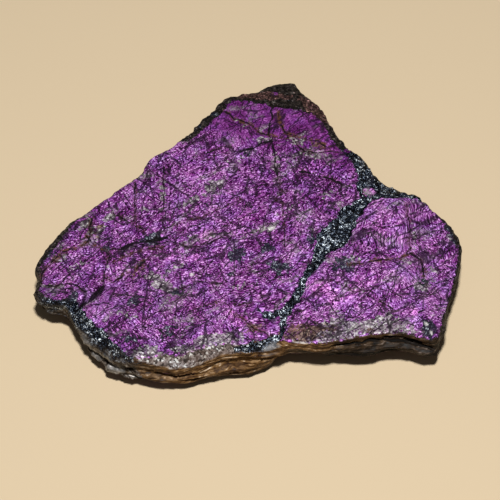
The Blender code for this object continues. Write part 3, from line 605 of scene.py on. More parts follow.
    def seam_lines(self):
        """Painted shade in the gap between the layers of the lower right wall, and painted shadow that
        turns the wall black below them.
        """
        x, y, z = self.wandered.T
        seen = np.c_[x, y + SEEN_SLOPE * z]
        steep = (1.0 - self.top) * (1.0 - self.underside) * rise(-y, 10.0, 13.0)
        into_gap = 0.26 + 0.12 * self.broad - along_path(seen, SEAM_GAP)[0]
        self.gap = steep * rise(into_gap, -0.05, 0.1) * rise(x, 13.0, 16.0)
        # Below this line the wall is painted black as the shadow under the flange.
        shadow_from = np.interp(x, *np.array(SHADOW_BELOW).T)
        below = rise(shadow_from - seen[:, 1] + 0.25 * self.ragged, -0.1, 0.25)
        self.blackened = np.maximum(0.85 * steep * below * rise(x, 7.0, 10.0), self.gap)

    def wall_tint(self):
        """How much of the lit gold-brown wall colour each point gets: painted light where the wall
        faces the front; less so low down, on the lower right and towards both of its ends.
        """
        x, y, z = self.points.T
        # Painted light: walls that face the front get the lit gold-brown colour, the others its shaded
        # copy.
        lit_facing = rise(-self.normals[:, 1] - 0.2 * self.normals[:, 0], -0.2, 0.5)
        layered = 1.0 - 0.85 * rise(x, 4.0, 9.0) * rise(-z, 1.5, 2.3)
        self.golden = lit_facing * layered * (1.0 - 0.7 * rise(-z + 0.4 * self.broad, 5.6, 7.4))
        for share, start, end in DARKER_LEFT:
            self.golden *= 1.0 - share * rise(-x + self.broad, start, end)
        self.golden *= 1.0 - sum(share * rise(x, start, end) for share, start, end in DARKER_RIGHT)


def cleave(surface):
    """Heights of the face's domains and fibres; also sets how the fibres turn and their tone."""
    points = surface.points
    owner, seeds, rng = crystal_domains(points)
    tilt = rng.normal(0.0, DOMAIN_TILT, (len(seeds), 2))
    level = rng.normal(0.0, DOMAIN_STEP, len(seeds))
    turn_change = rng.normal(0.0, TURN_SPREAD, len(seeds))
    tone_change = rng.normal(0.0, TONE_SPREAD, len(seeds))
    lift = level[owner] + np.einsum("ij,ij->i", points[:, :2] - seeds[owner], tilt[owner])
    own_turn = blended(seeds, FIBRE_TURNS)[owner]
    turn = 0.3 * blended(points, FIBRE_TURNS) + 0.7 * own_turn + turn_change[owner]
    surface.turn = np.radians(turn)
    surface.tone = blended(points, TONES) + tone_change[owner]
    cosine = np.cos(surface.turn)
    sine = np.sin(surface.turn)
    along = points[:, 0] * cosine + points[:, 1] * sine
    across = points[:, 1] * cosine - points[:, 0] * sine
    lift += FIBRE_RIPPLE * waves(np.c_[along, across, points[:, 2]], (2.6, 0.7, 30.0), 31)
    return lift * surface.face


def roughen(surface):
    """Heights of the grains of vein, band and crust, and of the pebbles, the chip and the stains."""
    points = surface.points
    outer = 1.0 - surface.face
    vein = surface.top * rise(surface.vein_in, -0.1, 0.15)
    granular = np.maximum(vein, np.maximum(surface.left_slope, surface.neck) * outer)
    grains = waves(points, 0.62, 32) + 0.6 * waves(points, 1.3, 33)
    lift = GRAIN_LUMP * grains * granular - VEIN_CARVE * vein
    lift += BAND_LUMP * grains * surface.band * outer
    lift += CRUST_ROUGH * (grains + 0.5 * waves(points, 1.0, 34)) * surface.crust * outer
    lift += PEBBLE_LIFT * surface.pebbles
    lift -= GAP_DEPTH * surface.gap
    lift += CHIP_LIFT * surface.chip
    return lift - STAIN_DIP * surface.grey * surface.face * (1.0 + grains)


def split_wall(surface):
    """Heights of the walls' ledges and lumps, and of the underside's lumps round its resting spot."""
    points = surface.points
    side = (1.0 - surface.top) * (1.0 - surface.underside)
    layers = np.c_[points[:, 0], points[:, 1], points[:, 2] + 0.3 * surface.broad]
    ledge = waves(layers, (5.0, 5.0, 0.5), 35) + 0.5 * waves(layers, (2.4, 2.4, 0.9), 39)
    rough = waves(points, (1.1, 1.1, 0.9), 36)
    lumps = UNDER_LUMP * waves(points, 1.8, 37) + UNDER_GRAIN * waves(points, 0.8, 38)
    lumps *= surface.underside * rise(points[:, 2], *RESTING_ABOVE)
    return side * (WALL_LEDGE * ledge + WALL_ROUGH * rough) + lumps


def carve(surface):
    """Moves the skin: domains and fibres, grains, ledges and lumps, and the cracks straight down."""
    lift = cleave(surface) + roughen(surface) + split_wall(surface)
    surface.points = surface.points + surface.normals * lift[:, None]
    surface.points[:, 2] -= surface.crack_depth


STORED = (
    "top", "face_in", "vein_in", "left_slope", "band", "crust", "chip", "pebbles", "crack_in",
    "crack_rust", "grey", "black", "rust", "pale", "glow", "tone", "turn", "underside", "golden",
    "neck", "calm", "rock", "blackened",
)


def store(mesh, name, values):
    """Keeps a value for each vertex of a mesh, for its material to read."""
    attribute = mesh.attributes.new(name, "FLOAT", "POINT")
    attribute.data.foreach_set("value", values.astype(np.float32))


def fine_skin(node, grain):
    """A copy of the slab's solid with an even, fine skin over an unbroken face."""
    piece = bpy.data.objects.new("purpurite_stone", node.data.copy())
    bpy.context.scene.collection.objects.link(piece)
    piece.data.materials.clear()
    make_active(piece)
    bpy.ops.object.mode_set(mode="EDIT")
    bpy.ops.mesh.select_all(action="SELECT")
    bpy.ops.mesh.remove_doubles(threshold=0.001 * MM)
    bpy.ops.object.mode_set(mode="OBJECT")
    apply_modifier(piece, "REMESH", mode="VOXEL", voxel_size=grain)
    apply_modifier(piece, "SMOOTH", factor=0.5, iterations=5)
    level_face(piece)
    thin_faces(piece, lambda face: face.normal.z < -0.6, 0.15)
    thin_faces(piece, lambda face: -0.6 <= face.normal.z < 0.35, 0.55)
    drop_hollows(piece)
    return piece


def level_face(piece):
    """Smooths the wide grooves out of the face, which gets its narrow cracks afterwards."""
    points = read_points(piece.data)
    upward = read_vectors(piece.data, "normal")[:, 2]
    weights = rise(into_outline(points, FACE), 0.2, 1.0) * rise(upward, 0.4, 0.7)
    group = piece.vertex_groups.new(name="level")
    for share in range(1, 11):
        chosen = np.flatnonzero(np.rint(weights * 10) == share)
        group.add(chosen.tolist(), share / 10, "REPLACE")
    apply_modifier(piece, "SMOOTH", factor=1.0, iterations=45, vertex_group="level")


def thin_faces(piece, wanted, ratio):
    """Fewer faces where the stone shows no fibres."""
    edit_chosen(piece, "polygons", wanted)
    bpy.ops.mesh.decimate(ratio=ratio)
    bpy.ops.object.mode_set(mode="OBJECT")


def drop_hollows(piece):
    """Deletes the tiny closed hollows that the even skin leaves inside the stone."""
    farthest = int(read_points(piece.data)[:, 0].argmax())
    edit_chosen(piece, "vertices", lambda vertex: vertex.index == farthest)
    bpy.ops.mesh.select_linked()
    bpy.ops.mesh.select_all(action="INVERT")
    bpy.ops.mesh.delete(type="VERT")
    bpy.ops.object.mode_set(mode="OBJECT")


def add(tree, kind, inputs=None, **settings):
    """A new shader node with its settings, its input values and its incoming links."""
    made = tree.nodes.new(kind)
    for name, value in settings.items():
        setattr(made, name, value)
    for socket, value in (inputs or {}).items():
        if isinstance(value, bpy.types.NodeSocket):
            tree.links.new(value, made.inputs[socket])
        else:
            made.inputs[socket].default_value = value
    return made


def read_value(tree, name):
    """A value stored on the mesh."""
    return add(tree, "ShaderNodeAttribute", attribute_name=name).outputs["Fac"]


def calculate(tree, operation, first, second=0.0, third=0.0):
    """One sum of two or three values."""
    return add(tree, "ShaderNodeMath", {0: first, 1: second, 2: third}, operation=operation).outputs[0]


def times(tree, value, *others):
    """The product of two or more values."""
    for other in others:
        value = calculate(tree, "MULTIPLY", value, other)
    return value


def plus(tree, value, gain, onto):
    """Adds a value, times a gain, onto another value."""
    return calculate(tree, "MULTIPLY_ADD", value, gain, onto)


def swing(tree, value, gain, onto):
    """Adds a noise value's swing round its middle, times a gain, onto another value."""
    return plus(tree, calculate(tree, "SUBTRACT", value, 0.5), gain, onto)


def opposite(tree, share):
    """What a share leaves of 1."""
    return calculate(tree, "SUBTRACT", 1.0, share)


def mix_colour(tree, share, first, second, blend="MIX"):
    """Two colours mixed by a share."""
    inputs = {0: share, 6: first, 7: second}
    return add(tree, "ShaderNodeMix", inputs, data_type="RGBA", blend_type=blend).outputs[2]


def tinted(tree, colour, tint, share=1.0):
    """A colour multiplied by a tint, by a share."""
    return mix_colour(tree, share, colour, tint, "MULTIPLY")


def mix_value(tree, share, first, second):
    """Two values mixed by a share."""
    return add(tree, "ShaderNodeMix", {0: share, 2: first, 3: second}, data_type="FLOAT").outputs[0]


def ramp(tree, value, stops):
    """A colour ramp through stops of place and colour."""
    node = add(tree, "ShaderNodeValToRGB", {0: value})
    elements = node.color_ramp.elements
    while len(elements) < len(stops):
        elements.new(0.5)
    for element, (place, colour) in zip(elements, stops):
        element.position = place
        element.color = (*colour, 1.0)
    return node.outputs[0]


def step(tree, value, low, high):
    """0 below low and 1 above high, smooth between."""
    inputs = {0: value, 1: low, 2: high, 3: 0.0, 4: 1.0}
    return add(tree, "ShaderNodeMapRange", inputs, interpolation_type="SMOOTHSTEP").outputs[0]


def turned(tree, place, angle):
    """A place turned about the vertical; an angle may vary over the stone."""
    inputs = {0: place, 3: angle}
    return add(tree, "ShaderNodeVectorRotate", inputs, rotation_type="Z_AXIS", invert=True).outputs[0]


def stretched(tree, place, scale):
    """A place scaled along each axis."""
    return add(tree, "ShaderNodeMapping", {0: place, 3: scale}).outputs[0]


def cloud(tree, place, scale, detail=2.0, roughness=0.5, distortion=0.0):
    """Noise over a place in mm; scale is waves per mm along each axis."""
    inputs = {0: stretched(tree, place, scale), 2: 1.0, 3: detail, 4: roughness, 8: distortion}
    return add(tree, "ShaderNodeTexNoise", inputs).outputs[0]


def cell_values(tree, cells):
    """Three random values for each random cell of the size of 1."""
    node = add(tree, "ShaderNodeTexVoronoi", {0: cells, 2: 1.0})
    return add(tree, "ShaderNodeSeparateColor", {0: node.outputs["Color"]}).outputs


def cell_edge(tree, cells):
    """How far each place is from the edge of its random cell."""
    inputs = {0: cells, 2: 1.0}
    return add(tree, "ShaderNodeTexVoronoi", inputs, feature="DISTANCE_TO_EDGE").outputs[0]


def bent(tree, place, scale, reach):
    """A place pushed about by noise, so that straight patterns over it bend."""
    drift = add(tree, "ShaderNodeTexNoise", {0: place, 2: scale, 3: 3.0, 4: 0.6}).outputs["Color"]
    drift = add(tree, "ShaderNodeVectorMath", {0: drift, 1: (0.5, 0.5, 0.5)}, operation="SUBTRACT")
    inputs = {0: drift.outputs[0], 1: (reach, reach, reach), 2: place}
    return add(tree, "ShaderNodeVectorMath", inputs, operation="MULTIPLY_ADD").outputs[0]


def new_group(name, inputs, outputs):
    """An empty shader group with named sockets, and its two end nodes."""
    group = bpy.data.node_groups.new(name, "ShaderNodeTree")
    for label, kind in inputs:
        group.interface.new_socket(label, in_out="INPUT", socket_type=kind)
    for label, kind in outputs:
        group.interface.new_socket(label, in_out="OUTPUT", socket_type=kind)
    return group, add(group, "NodeGroupInput").outputs, add(group, "NodeGroupOutput").inputs


FLOAT = "NodeSocketFloat"
COLOUR = "NodeSocketColor"
VECTOR = "NodeSocketVector"


def hairline_group():
    """Thin dark scratches and veinlets in a few directions, broken here and there."""
    tree, given, result = new_group(
        "hairlines", [("Place", VECTOR)], [("Lines", FLOAT), ("Veinlets", FLOAT)]
    )
    place = given["Place"]
    wavy = bent(tree, place, 0.55, 1.2)
    total = None
    for angle, scale, width in (
        (30.0, (0.05, 0.34, 0.05), 0.034), (-50.0, (0.06, 0.26, 0.05), 0.026),
        (80.0, (0.05, 0.24, 0.05), 0.022), (44.0, (0.09, 0.5, 0.05), 0.04),
    ):
        cells = stretched(tree, turned(tree, wavy, math.radians(angle)), scale)
        gap = cloud(tree, place, (0.4 + scale[0], 0.5, 0.3), detail=3.0, roughness=0.6)
        line = opposite(tree, step(tree, cell_edge(tree, cells), width * 0.35, width))
        line = times(tree, line, step(tree, gap, 0.41, 0.49))
        total = line if total is None else calculate(tree, "MAXIMUM", total, line)
    tree.links.new(total, result["Lines"])
    cells = stretched(tree, turned(tree, wavy, math.radians(32.0)), (0.075, 0.22, 0.05))
    speck = cloud(tree, place, (1.5, 1.5, 1.5), detail=3.0, roughness=0.65)
    edge = swing(tree, speck, 0.22, cell_edge(tree, cells))
    band = opposite(tree, step(tree, edge, 0.02, 0.09))
    gap = cloud(tree, place, (0.22, 0.22, 0.22), detail=2.0)
    tree.links.new(times(tree, band, step(tree, gap, 0.47, 0.6)), result["Veinlets"])
    return tree


def silk_group():
    """Silky purple cleavage: small facets and short streaks along the turn of each domain."""
    tree, given, result = new_group(
        "silky_fibres",
        [("Place", VECTOR), ("Turn", FLOAT), ("Tone", FLOAT), ("Glow", FLOAT), ("Calm", FLOAT)],
        [("Colour", COLOUR), ("Roughness", FLOAT), ("Height", FLOAT)],
    )
    place = given["Place"]
    fibre = turned(tree, bent(tree, place, 1.1, 0.4), given["Turn"])
    broad = cloud(tree, fibre, (0.4, 1.4, 1.0), detail=2.0, roughness=0.6)
    fine = cloud(tree, fibre, (2.0, 6.0, 3.0), detail=0.0)
    speck = cell_values(tree, stretched(tree, fibre, (4.2, 6.0, 5.0)))[0]
    patch = cloud(tree, place, (0.2, 0.3, 0.3), detail=2.0)
    cells = stretched(tree, fibre, (0.42, 1.05, 0.05))
    facet_shade, facet_rim, facet_stripe = cell_values(tree, cells)
    rim = opposite(tree, step(tree, cell_edge(tree, cells), 0.03, 0.085))
    rim = times(tree, rim, step(tree, facet_rim, 0.6, 0.85))
    across = add(tree, "ShaderNodeSeparateXYZ", {0: fibre}).outputs[1]
    stripe = calculate(tree, "SINE", plus(tree, across, 15.0, times(tree, broad, 9.0)))
    stripe = times(tree, stripe, step(tree, facet_stripe, 0.68, 0.85))
    grain = swing(tree, fine, 0.55, 0.0)
    grain = swing(tree, speck, 1.05, grain)
    grain = plus(tree, stripe, 0.05, grain)
    grain = plus(tree, rim, -0.1, grain)
    grain = times(tree, grain, plus(tree, given["Calm"], -0.55, 1.0))
    shade = swing(tree, facet_shade, 0.07, calculate(tree, "ADD", grain, 0.472))
    shade = swing(tree, broad, 0.15, shade)
    shade = swing(tree, patch, 0.36, shade)
    shade = plus(tree, given["Tone"], 0.13, shade)
    shade = plus(tree, given["Glow"], 0.16, shade)
    colour = ramp(tree, shade, (
        (0.0, (0.015, 0.001, 0.015)), (0.25, (0.084, 0.0085, 0.086)), (0.5, (0.222, 0.037, 0.238)),
        (0.75, (0.42, 0.125, 0.46)), (1.0, (0.82, 0.44, 0.86)),
    ))
    hue = cloud(tree, place, (0.33, 0.33, 0.33), detail=2.0)
    colour = tinted(tree, colour, COOL_TINT, step(tree, hue, 0.42, 0.66))
    colour = mix_colour(tree, given["Glow"], colour, tinted(tree, colour, WARM_TINT))
    tree.links.new(colour, result["Colour"])
    tree.links.new(plus(tree, speck, 0.3, 0.28), result["Roughness"])
    height = plus(tree, fine, 0.25, times(tree, speck, 0.5))
    height = plus(tree, facet_shade, 0.15, height)
    height = plus(tree, stripe, 0.1, height)
    tree.links.new(plus(tree, rim, -0.2, height), result["Height"])
    return tree


def grain_group():
    """Tightly packed mineral grains: one random shade for each, with domed tops."""
    tree, given, result = new_group(
        "packed_grains", [("Place", VECTOR), ("Scale", FLOAT)], [("Shade", FLOAT), ("Height", FLOAT)]
    )
    node = add(tree, "ShaderNodeTexVoronoi", {0: given["Place"], 2: given["Scale"]})
    shade = add(tree, "ShaderNodeSeparateColor", {0: node.outputs["Color"]})
    tree.links.new(shade.outputs[0], result["Shade"])
    height = opposite(tree, node.outputs["Distance"])
    tree.links.new(plus(tree, shade.outputs[1], 0.7, height), result["Height"])
    return tree


class StoneLayers:
    """The stone's look, built up layer by layer: each kind of surface over the ones below."""

    def __init__(self, tree):
        self.tree = tree
        place = add(tree, "ShaderNodeTexCoord").outputs["Object"]
        inputs = {0: place, 1: tuple(-FACE_ZERO), 3: (1.0 / MM, 1.0 / MM, 1.0 / MM)}
        self.place = add(tree, "ShaderNodeMapping", inputs).outputs[0]
        self.mask = {name: read_value(tree, name) for name in STORED}
        self.ragged = self.cloud(2.4, 3.0)
        self.grain_effect = grain_group()
        self.colour = None
        self.rough = None
        self.height = None
        self.metal = 0.0

    def cloud(self, scale, detail=2.0, roughness=0.6):
        """Even noise over the stone, in waves per mm."""
        return cloud(self.tree, self.place, (scale, scale, scale), detail, roughness)

    def grains(self, scale):
        """Packed grains, in grains per mm."""
        return self.group(self.grain_effect, {"Place": self.place, "Scale": scale})

    def group(self, effect, inputs):
        """Places an effect in the material."""
        return add(self.tree, "ShaderNodeGroup", inputs, node_tree=effect).outputs

    def crisp(self, name, swing_mm, low=-0.05, high=0.07):
        """A sharp but ragged edge where a stored distance passes 0."""
        return step(self.tree, swing(self.tree, self.ragged, swing_mm, self.mask[name]), low, high)

    def broken(self, name, scale, low, high):
        """A stored strength, broken up by noise."""
        noise_value = self.cloud(scale, 4.0, 0.65)
        return times(self.tree, self.mask[name], step(self.tree, noise_value, low, high))

    def stained(self, name, scale, edge=0.1):
        """A stored strength turned into a ragged patch by noise."""
        value = swing(self.tree, self.cloud(scale, 3.0, 0.65), 2.4, self.mask[name])
        return step(self.tree, value, 0.5 - edge, 0.5 + edge)

    def lay(self, share, colour=None, rough=None, height=None, metal=None):
        """Lays a colour and a finish over what is there, by a share."""
        tree = self.tree
        if colour is not None:
            self.colour = mix_colour(tree, share, self.colour, colour)
        if rough is not None:
            self.rough = mix_value(tree, share, self.rough, rough)
        if height is not None:
            self.height = mix_value(tree, share, self.height, height)
        if metal is not None:
            self.metal = mix_value(tree, share, self.metal, metal)


def wall_layers(stone):
    """The layered wall: lit gold-brown where it faces the front and, as painted shade, a darker copy of
    the same strata below and behind.
    """
    tree = stone.tree
    strata = cloud(tree, stone.place, (0.16, 0.16, 2.2), detail=4.0, roughness=0.65, distortion=0.4)
    flake = cloud(tree, stone.place, (0.9, 0.9, 3.4), detail=3.0, roughness=0.65)
    shade = swing(tree, strata, 1.5, 0.5)
    shade = swing(tree, flake, 1.3, shade)
    golden = ramp(tree, shade, (
        (0.12, (0.008, 0.003, 0.001)), (0.34, (0.036, 0.014, 0.004)), (0.52, (0.12, 0.06, 0.019)),
        (0.7, (0.26, 0.15, 0.065)), (0.92, (0.75, 0.62, 0.48)),
    ))
    # Painted shade: the same strata darker, for walls that face away or lie low.
    dark = ramp(tree, shade, (
        (0.15, (0.002, 0.0015, 0.001)), (0.45, (0.008, 0.005, 0.003)), (0.65, (0.028, 0.017, 0.010)),
        (0.9, (0.13, 0.10, 0.085)),
    ))
    stone.colour = mix_colour(tree, stone.mask["golden"], dark, golden)
    stone.rough = plus(tree, flake, 0.4, 0.35)
    stone.height = plus(tree, strata, 1.8, flake)
    return flake


def underside_layer(stone):
    """The dull brown underside with worn purple in it."""
    tree = stone.tree
    crumb = stone.cloud(1.6, 4.0, 0.65)
    brown = ramp(tree, crumb, (
        (0.3, (0.012, 0.009, 0.008)), (0.5, (0.05, 0.036, 0.03)), (0.66, (0.13, 0.1, 0.085)),
        (0.8, (0.3, 0.26, 0.23)),
    ))
    purple = ramp(tree, crumb, (
        (0.3, (0.02, 0.008, 0.024)), (0.5, (0.085, 0.03, 0.095)), (0.7, (0.2, 0.085, 0.22)),
    ))
    worn = step(tree, stone.cloud(0.22, 4.0), 0.5, 0.62)
    stone.lay(stone.mask["underside"], mix_colour(tree, worn, brown, purple), 0.75)
    return crumb


def edge_layers(stone):
    """Black-brown crust behind, a grey granular band in front and a blue-black slope on the left."""
    tree = stone.tree
    crust_grain = stone.grains(3.4)
    crust_shade = swing(tree, crust_grain["Shade"], 0.35, stone.cloud(1.2, 4.0, 0.7))
    crust = ramp(tree, crust_shade, (
        (0.3, (0.003, 0.002, 0.002)), (0.48, (0.009, 0.0075, 0.007)), (0.6, (0.025, 0.019, 0.017)),
        (0.7, (0.055, 0.043, 0.039)), (0.84, (0.2, 0.175, 0.165)),
    ))
    russet = tinted(tree, crust, RUSSET_TINT)
    rusted = swing(tree, stone.cloud(0.3, 3.0), 1.2, stone.mask["rust"])
    crust = mix_colour(tree, step(tree, rusted, 0.25, 0.6), crust, russet)
    stone.lay(stone.mask["crust"], crust, 0.42, crust_grain["Height"])
    band_grain = stone.grains(3.0)
    band_shade = swing(tree, stone.cloud(1.1, 3.0), 1.2, band_grain["Shade"])
    band = ramp(tree, band_shade, (
        (0.0, (0.035, 0.026, 0.024)), (0.3, (0.10, 0.076, 0.07)), (0.6, (0.22, 0.165, 0.155)),
        (0.85, (0.38, 0.32, 0.31)), (1.0, (0.75, 0.72, 0.7)),
    ))
    tint = ramp(tree, stone.cloud(0.5, 3.0), (
        (0.35, (0.36, 0.31, 0.27)), (0.5, (0.82, 0.84, 0.82)), (0.7, (0.95, 1.05, 1.1)),
    ))
    stone.lay(stone.mask["band"], tinted(tree, band, tint), 0.45, band_grain["Height"])


def dark_mineral_and_glints(stone):
    """The blue-black metallic mineral of the vein, in coarse and fine grains; its brightest, near-white
    grains are painted glints.
    """
    tree = stone.tree
    coarse = stone.grains(2.2)
    fine = stone.grains(6.2)
    shade = plus(tree, fine["Shade"], 0.7, times(tree, coarse["Shade"], 0.3))
    shade = swing(tree, stone.cloud(0.6, 2.0), 0.7, shade)
    # Mostly near black; the top stops, up to near white, are painted glints on the grains.
    colour = ramp(tree, shade, (
        (0.25, (0.0007, 0.0007, 0.0015)), (0.56, (0.003, 0.0037, 0.007)), (0.69, (0.024, 0.031, 0.052)),
        (0.81, (0.15, 0.19, 0.26)), (0.92, (0.85, 0.93, 1.0)),
    ))
    height = plus(tree, coarse["Height"], 1.5, fine["Height"])
    return colour, height


def face_layers(stone, flake, crumb):
    """The purple face with its stains, hairlines, vein and cracks."""
    tree = stone.tree
    # The vein's mineral colour carries painted glints in its brightest grains.
    mineral, mineral_height = dark_mineral_and_glints(stone)
    slope = calculate(tree, "MAXIMUM", stone.mask["left_slope"], stone.mask["neck"])
    stone.lay(slope, mineral, 0.36, mineral_height, 0.35)
    rock = cloud(tree, turned(tree, stone.place, -0.7), (0.5, 1.6, 1.2), detail=4.0, roughness=0.7)
    rock = ramp(tree, rock, (
        (0.36, (0.006, 0.004, 0.003)), (0.48, (0.035, 0.024, 0.016)), (0.56, (0.12, 0.098, 0.08)),
        (0.63, (0.3, 0.285, 0.27)), (0.72, (0.75, 0.75, 0.74)),
    ))
    stone.lay(stone.mask["rock"], rock, 0.4, flake)
    inputs = {"Place": stone.place}
    for label in ("Turn", "Tone", "Glow", "Calm"):
        inputs[label] = stone.mask[label.lower()]
    silk = stone.group(silk_group(), inputs)
    lines = stone.group(hairline_group(), {"Place": stone.place})
    face = times(tree, stone.crisp("face_in", 1.3), stone.mask["top"])
    height = plus(tree, lines["Lines"], -0.6, silk["Height"])
    stone.lay(face, silk["Colour"], silk["Roughness"], height, 0.25)
    stain_grain = stone.grains(3.0)
    grey = ramp(tree, stain_grain["Shade"], (
        (0.0, (0.03, 0.028, 0.026)), (0.4, (0.14, 0.132, 0.12)), (0.75, (0.34, 0.33, 0.30)),
        (1.0, (0.75, 0.75, 0.71)),
    ))
    stain = calculate(tree, "MAXIMUM", stone.stained("grey", 1.3), times(tree, lines["Veinlets"], 0.55))
    stone.lay(times(tree, stain, 0.75, face), grey, 0.5)
    rust = ramp(tree, stain_grain["Shade"], (
        (0.0, (0.03, 0.013, 0.008)), (0.6, (0.11, 0.055, 0.035)), (1.0, (0.3, 0.18, 0.12)),
    ))
    stone.lay(times(tree, stone.stained("rust", 1.7), 0.8, face), rust, 0.6)
    stone.lay(times(tree, lines["Lines"], 0.85, face), LINE_BLACK, 0.7)
    vein = times(tree, stone.crisp("vein_in", 0.8), stone.mask["top"])
    dull = mix_colour(tree, 0.6, mineral, SPOT_BLACK)
    stone.lay(times(tree, stone.stained("black", 1.3, 0.16), 0.92), dull, 0.45, mineral_height, 0.1)
    stone.lay(vein, mineral, 0.34, mineral_height, 0.3)
    rusty = ramp(tree, crumb, ((0.3, (0.025, 0.009, 0.006)), (0.7, (0.15, 0.06, 0.03))))
    stone.lay(times(tree, stone.broken("crack_rust", 1.6, 0.4, 0.55), stone.mask["top"]), rusty, 0.7)
    crack = times(tree, stone.crisp("crack_in", 0.28, -0.04, 0.06), 0.95)
    stone.lay(crack, CRACK_BLACK, 0.9)


def small_layers(stone, flake, crumb):
    """The painted shade and shadow that blacken the lower right wall, the grey chip, the glassy pebbles
    and the pale flecks, partly painted glints.
    """
    tree = stone.tree
    # Painted shadow under the flange and painted shade in the seam gap.
    stone.lay(stone.mask["blackened"], SHADE_BLACK, 0.8)
    silver = ramp(tree, crumb, ((0.35, (0.09, 0.09, 0.1)), (0.65, (0.34, 0.34, 0.35))))
    stone.lay(times(tree, stone.mask["chip"], 0.9), silver, 0.4)
    glass = ramp(tree, crumb, (
        (0.32, (0.05, 0.045, 0.04)), (0.5, (0.2, 0.19, 0.18)), (0.68, (0.42, 0.4, 0.39)),
    ))
    stone.lay(times(tree, stone.mask["pebbles"], 0.9), glass, 0.28)
    # Pale flecks: partly white crystals, partly painted glints.
    fleck_and_glint = times(tree, stone.mask["pale"], step(tree, flake, 0.4, 0.52))
    stone.lay(fleck_and_glint, PALE_FLECK_AND_GLINT, 0.35)


def stone_material():
    """The whole stone: each kind of surface is laid over the layered brown wall by its mask."""
    material = bpy.data.materials.new("purpurite stone")
    material.use_nodes = True
    tree = material.node_tree
    shader = tree.nodes["Principled BSDF"]
    shader.inputs["Specular IOR Level"].default_value = 0.13
    stone = StoneLayers(tree)
    flake = wall_layers(stone)
    crumb = underside_layer(stone)
    edge_layers(stone)
    face_layers(stone, flake, crumb)
    small_layers(stone, flake, crumb)
    tree.links.new(stone.colour, shader.inputs["Base Color"])
    tree.links.new(stone.rough, shader.inputs["Roughness"])
    tree.links.new(stone.metal, shader.inputs["Metallic"])
    bump = add(tree, "ShaderNodeBump", {"Strength": 1.0, "Distance": 0.06 * MM, "Height": stone.height})
    tree.links.new(bump.outputs[0], shader.inputs["Normal"])
    return material


class SlabSettings(bpy.types.PropertyGroup):
    """Sizes of the slab's carving."""

    skin_grain: bpy.props.FloatProperty(
        name="Skin grain", description="Width of one face of the fine skin",
        default=SKIN_GRAIN * MM, min=0.0001, unit="LENGTH",
    )


class StageSettings(bpy.types.PropertyGroup):
    """The floor, the lights and the camera."""

    floor_colour: bpy.props.FloatVectorProperty(
        name="Floor colour", description="Plain colour of the floor",
        subtype="COLOR", size=3, min=0.0, max=1.0, default=FLOOR_COLOUR,
    )
    key_power: bpy.props.FloatProperty(
        name="Key power", description="Power of the high light over the slab",
        default=3.3, unit="POWER",
    )
    fill_power: bpy.props.FloatProperty(
        name="Fill power", description="Power of the wide soft light", default=0.22, unit="POWER",
    )
    room_light: bpy.props.FloatProperty(
        name="Room light", description="Strength of the pale surroundings", default=0.035,
    )
    camera_height: bpy.props.FloatProperty(
        name="Camera elevation", description="Angle of the view above the floor",
        default=math.radians(57.0), subtype="ANGLE",
    )
    camera_distance: bpy.props.FloatProperty(
        name="Camera distance", description="From the lens to the middle of the face",
        default=0.4, unit="LENGTH",
    )
    view_width: bpy.props.FloatProperty(
        name="View width", description="Width that the picture shows at the middle of the face",
        default=0.088, unit="LENGTH",
    )


class OBJECT_OT_purpurite_slab(bpy.types.Operator):
    """Carves and colours the slab over its solid"""

    bl_idname = "object.purpurite_slab"
    bl_label = "Purpurite Slab"

    def execute(self, context):
        piece = fine_skin(frame["nodes"]["purpurite_slab"], context.scene.slab_settings.skin_grain)
        surface = Surface(piece.data)
        carve(surface)
        low, high = (from_face(corner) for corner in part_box("purpurite_slab"))
        write_points(piece.data, np.clip(surface.points, low, high))
        for name in STORED:
            store(piece.data, name, getattr(surface, name))
        piece.data.materials.append(stone_material())
        piece.data.shade_smooth()
        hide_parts("purpurite_slab")
        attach(piece, "root")
        return {"FINISHED"}


class OBJECT_OT_purpurite_stage(bpy.types.Operator):
    """Adds the floor, the soft lights and the camera"""

    bl_idname = "object.purpurite_stage"
    bl_label = "Studio Stage"

    def execute(self, context):
        stage = context.scene.stage_settings
        deselect_all()
        bpy.ops.mesh.primitive_plane_add(size=6.0, location=(0.0, 0.0, 0.0))
        floor = context.object
        floor.name = "floor"
        floor.data.materials.append(floor_material(stage.floor_colour))
        target = FACE_ZERO * MM
        add_light("key_light", target, Vector((0.1, -2.3, 9.0)), 0.5, 0.035, stage.key_power)
        add_light("fill_light", target, Vector((-1.0, -3.5, 6.0)), 0.9, 0.6, stage.fill_power)
        world = bpy.data.worlds.new("studio")
        world.use_nodes = True
        background = world.node_tree.nodes["Background"]
        background.inputs["Color"].default_value = (1.0, 0.98, 0.95, 1.0)
        background.inputs["Strength"].default_value = stage.room_light
        context.scene.world = world
        context.scene.view_settings.view_transform = "Standard"
        add_camera(stage, target)
        return {"FINISHED"}


def floor_material(tint):
    """Plain matt floor."""
    material = bpy.data.materials.new("plain floor")
    material.use_nodes = True
    shader = material.node_tree.nodes["Principled BSDF"]
    shader.inputs["Base Color"].default_value = (*tint, 1.0)
    shader.inputs["Roughness"].default_value = 0.9
    shader.inputs["Specular IOR Level"].default_value = 0.1
    return material


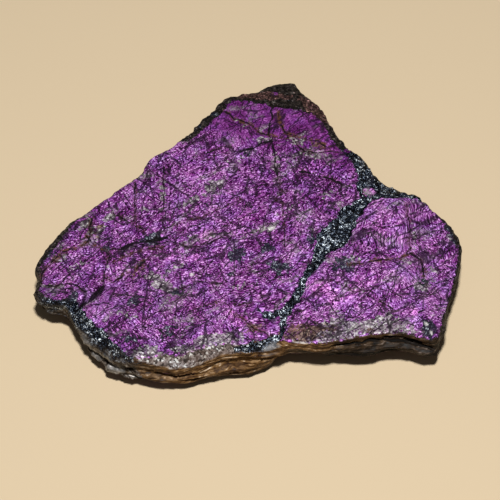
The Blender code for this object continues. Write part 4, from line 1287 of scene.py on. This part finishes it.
def add_light(name, target, direction, distance, size, power):
    """A square soft light that looks at the slab."""
    light = bpy.data.lights.new(name, "AREA")
    light.size = size
    light.energy = power
    lamp = bpy.data.objects.new(name, light)
    bpy.context.scene.collection.objects.link(lamp)
    lamp.location = target + direction.normalized() * distance
    lamp.rotation_euler = direction.to_track_quat("Z", "Y").to_euler()


def add_camera(stage, target):
    """The camera at the photograph's angle, framed by the width it shows."""
    camera = bpy.data.cameras.new("camera")
    camera.sensor_width = 36.0
    camera.lens = camera.sensor_width * stage.camera_distance / stage.view_width
    camera.clip_start = 0.01
    eye = bpy.data.objects.new("camera", camera)
    bpy.context.scene.collection.objects.link(eye)
    back = Vector((0.0, -math.cos(stage.camera_height), math.sin(stage.camera_height)))
    eye.location = target + back * stage.camera_distance
    eye.rotation_euler = back.to_track_quat("Z", "Y").to_euler()
    bpy.context.scene.camera = eye


class VIEW3D_PT_purpurite(bpy.types.Panel):
    """Buttons and sizes for the slab"""

    bl_label = "Purpurite"
    bl_space_type = "VIEW_3D"
    bl_region_type = "UI"
    bl_category = "Purpurite"

    def draw(self, context):
        column = self.layout.column()
        column.operator(OBJECT_OT_purpurite_slab.bl_idname)
        column.prop(context.scene.slab_settings, "skin_grain")
        column.operator(OBJECT_OT_purpurite_stage.bl_idname)
        for name in StageSettings.__annotations__:
            column.prop(context.scene.stage_settings, name)


CLASSES = (
    SlabSettings,
    StageSettings,
    OBJECT_OT_purpurite_slab,
    OBJECT_OT_purpurite_stage,
    VIEW3D_PT_purpurite,
)


def register():
    for item in CLASSES:
        bpy.utils.register_class(item)
    bpy.types.Scene.slab_settings = bpy.props.PointerProperty(type=SlabSettings)
    bpy.types.Scene.stage_settings = bpy.props.PointerProperty(type=StageSettings)


def unregister():
    del bpy.types.Scene.stage_settings
    del bpy.types.Scene.slab_settings
    for item in reversed(CLASSES):
        bpy.utils.unregister_class(item)


def main():
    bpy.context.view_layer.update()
    register()
    bpy.ops.object.purpurite_stage()
    bpy.ops.object.purpurite_slab()


if __name__ == "__main__":
    main()
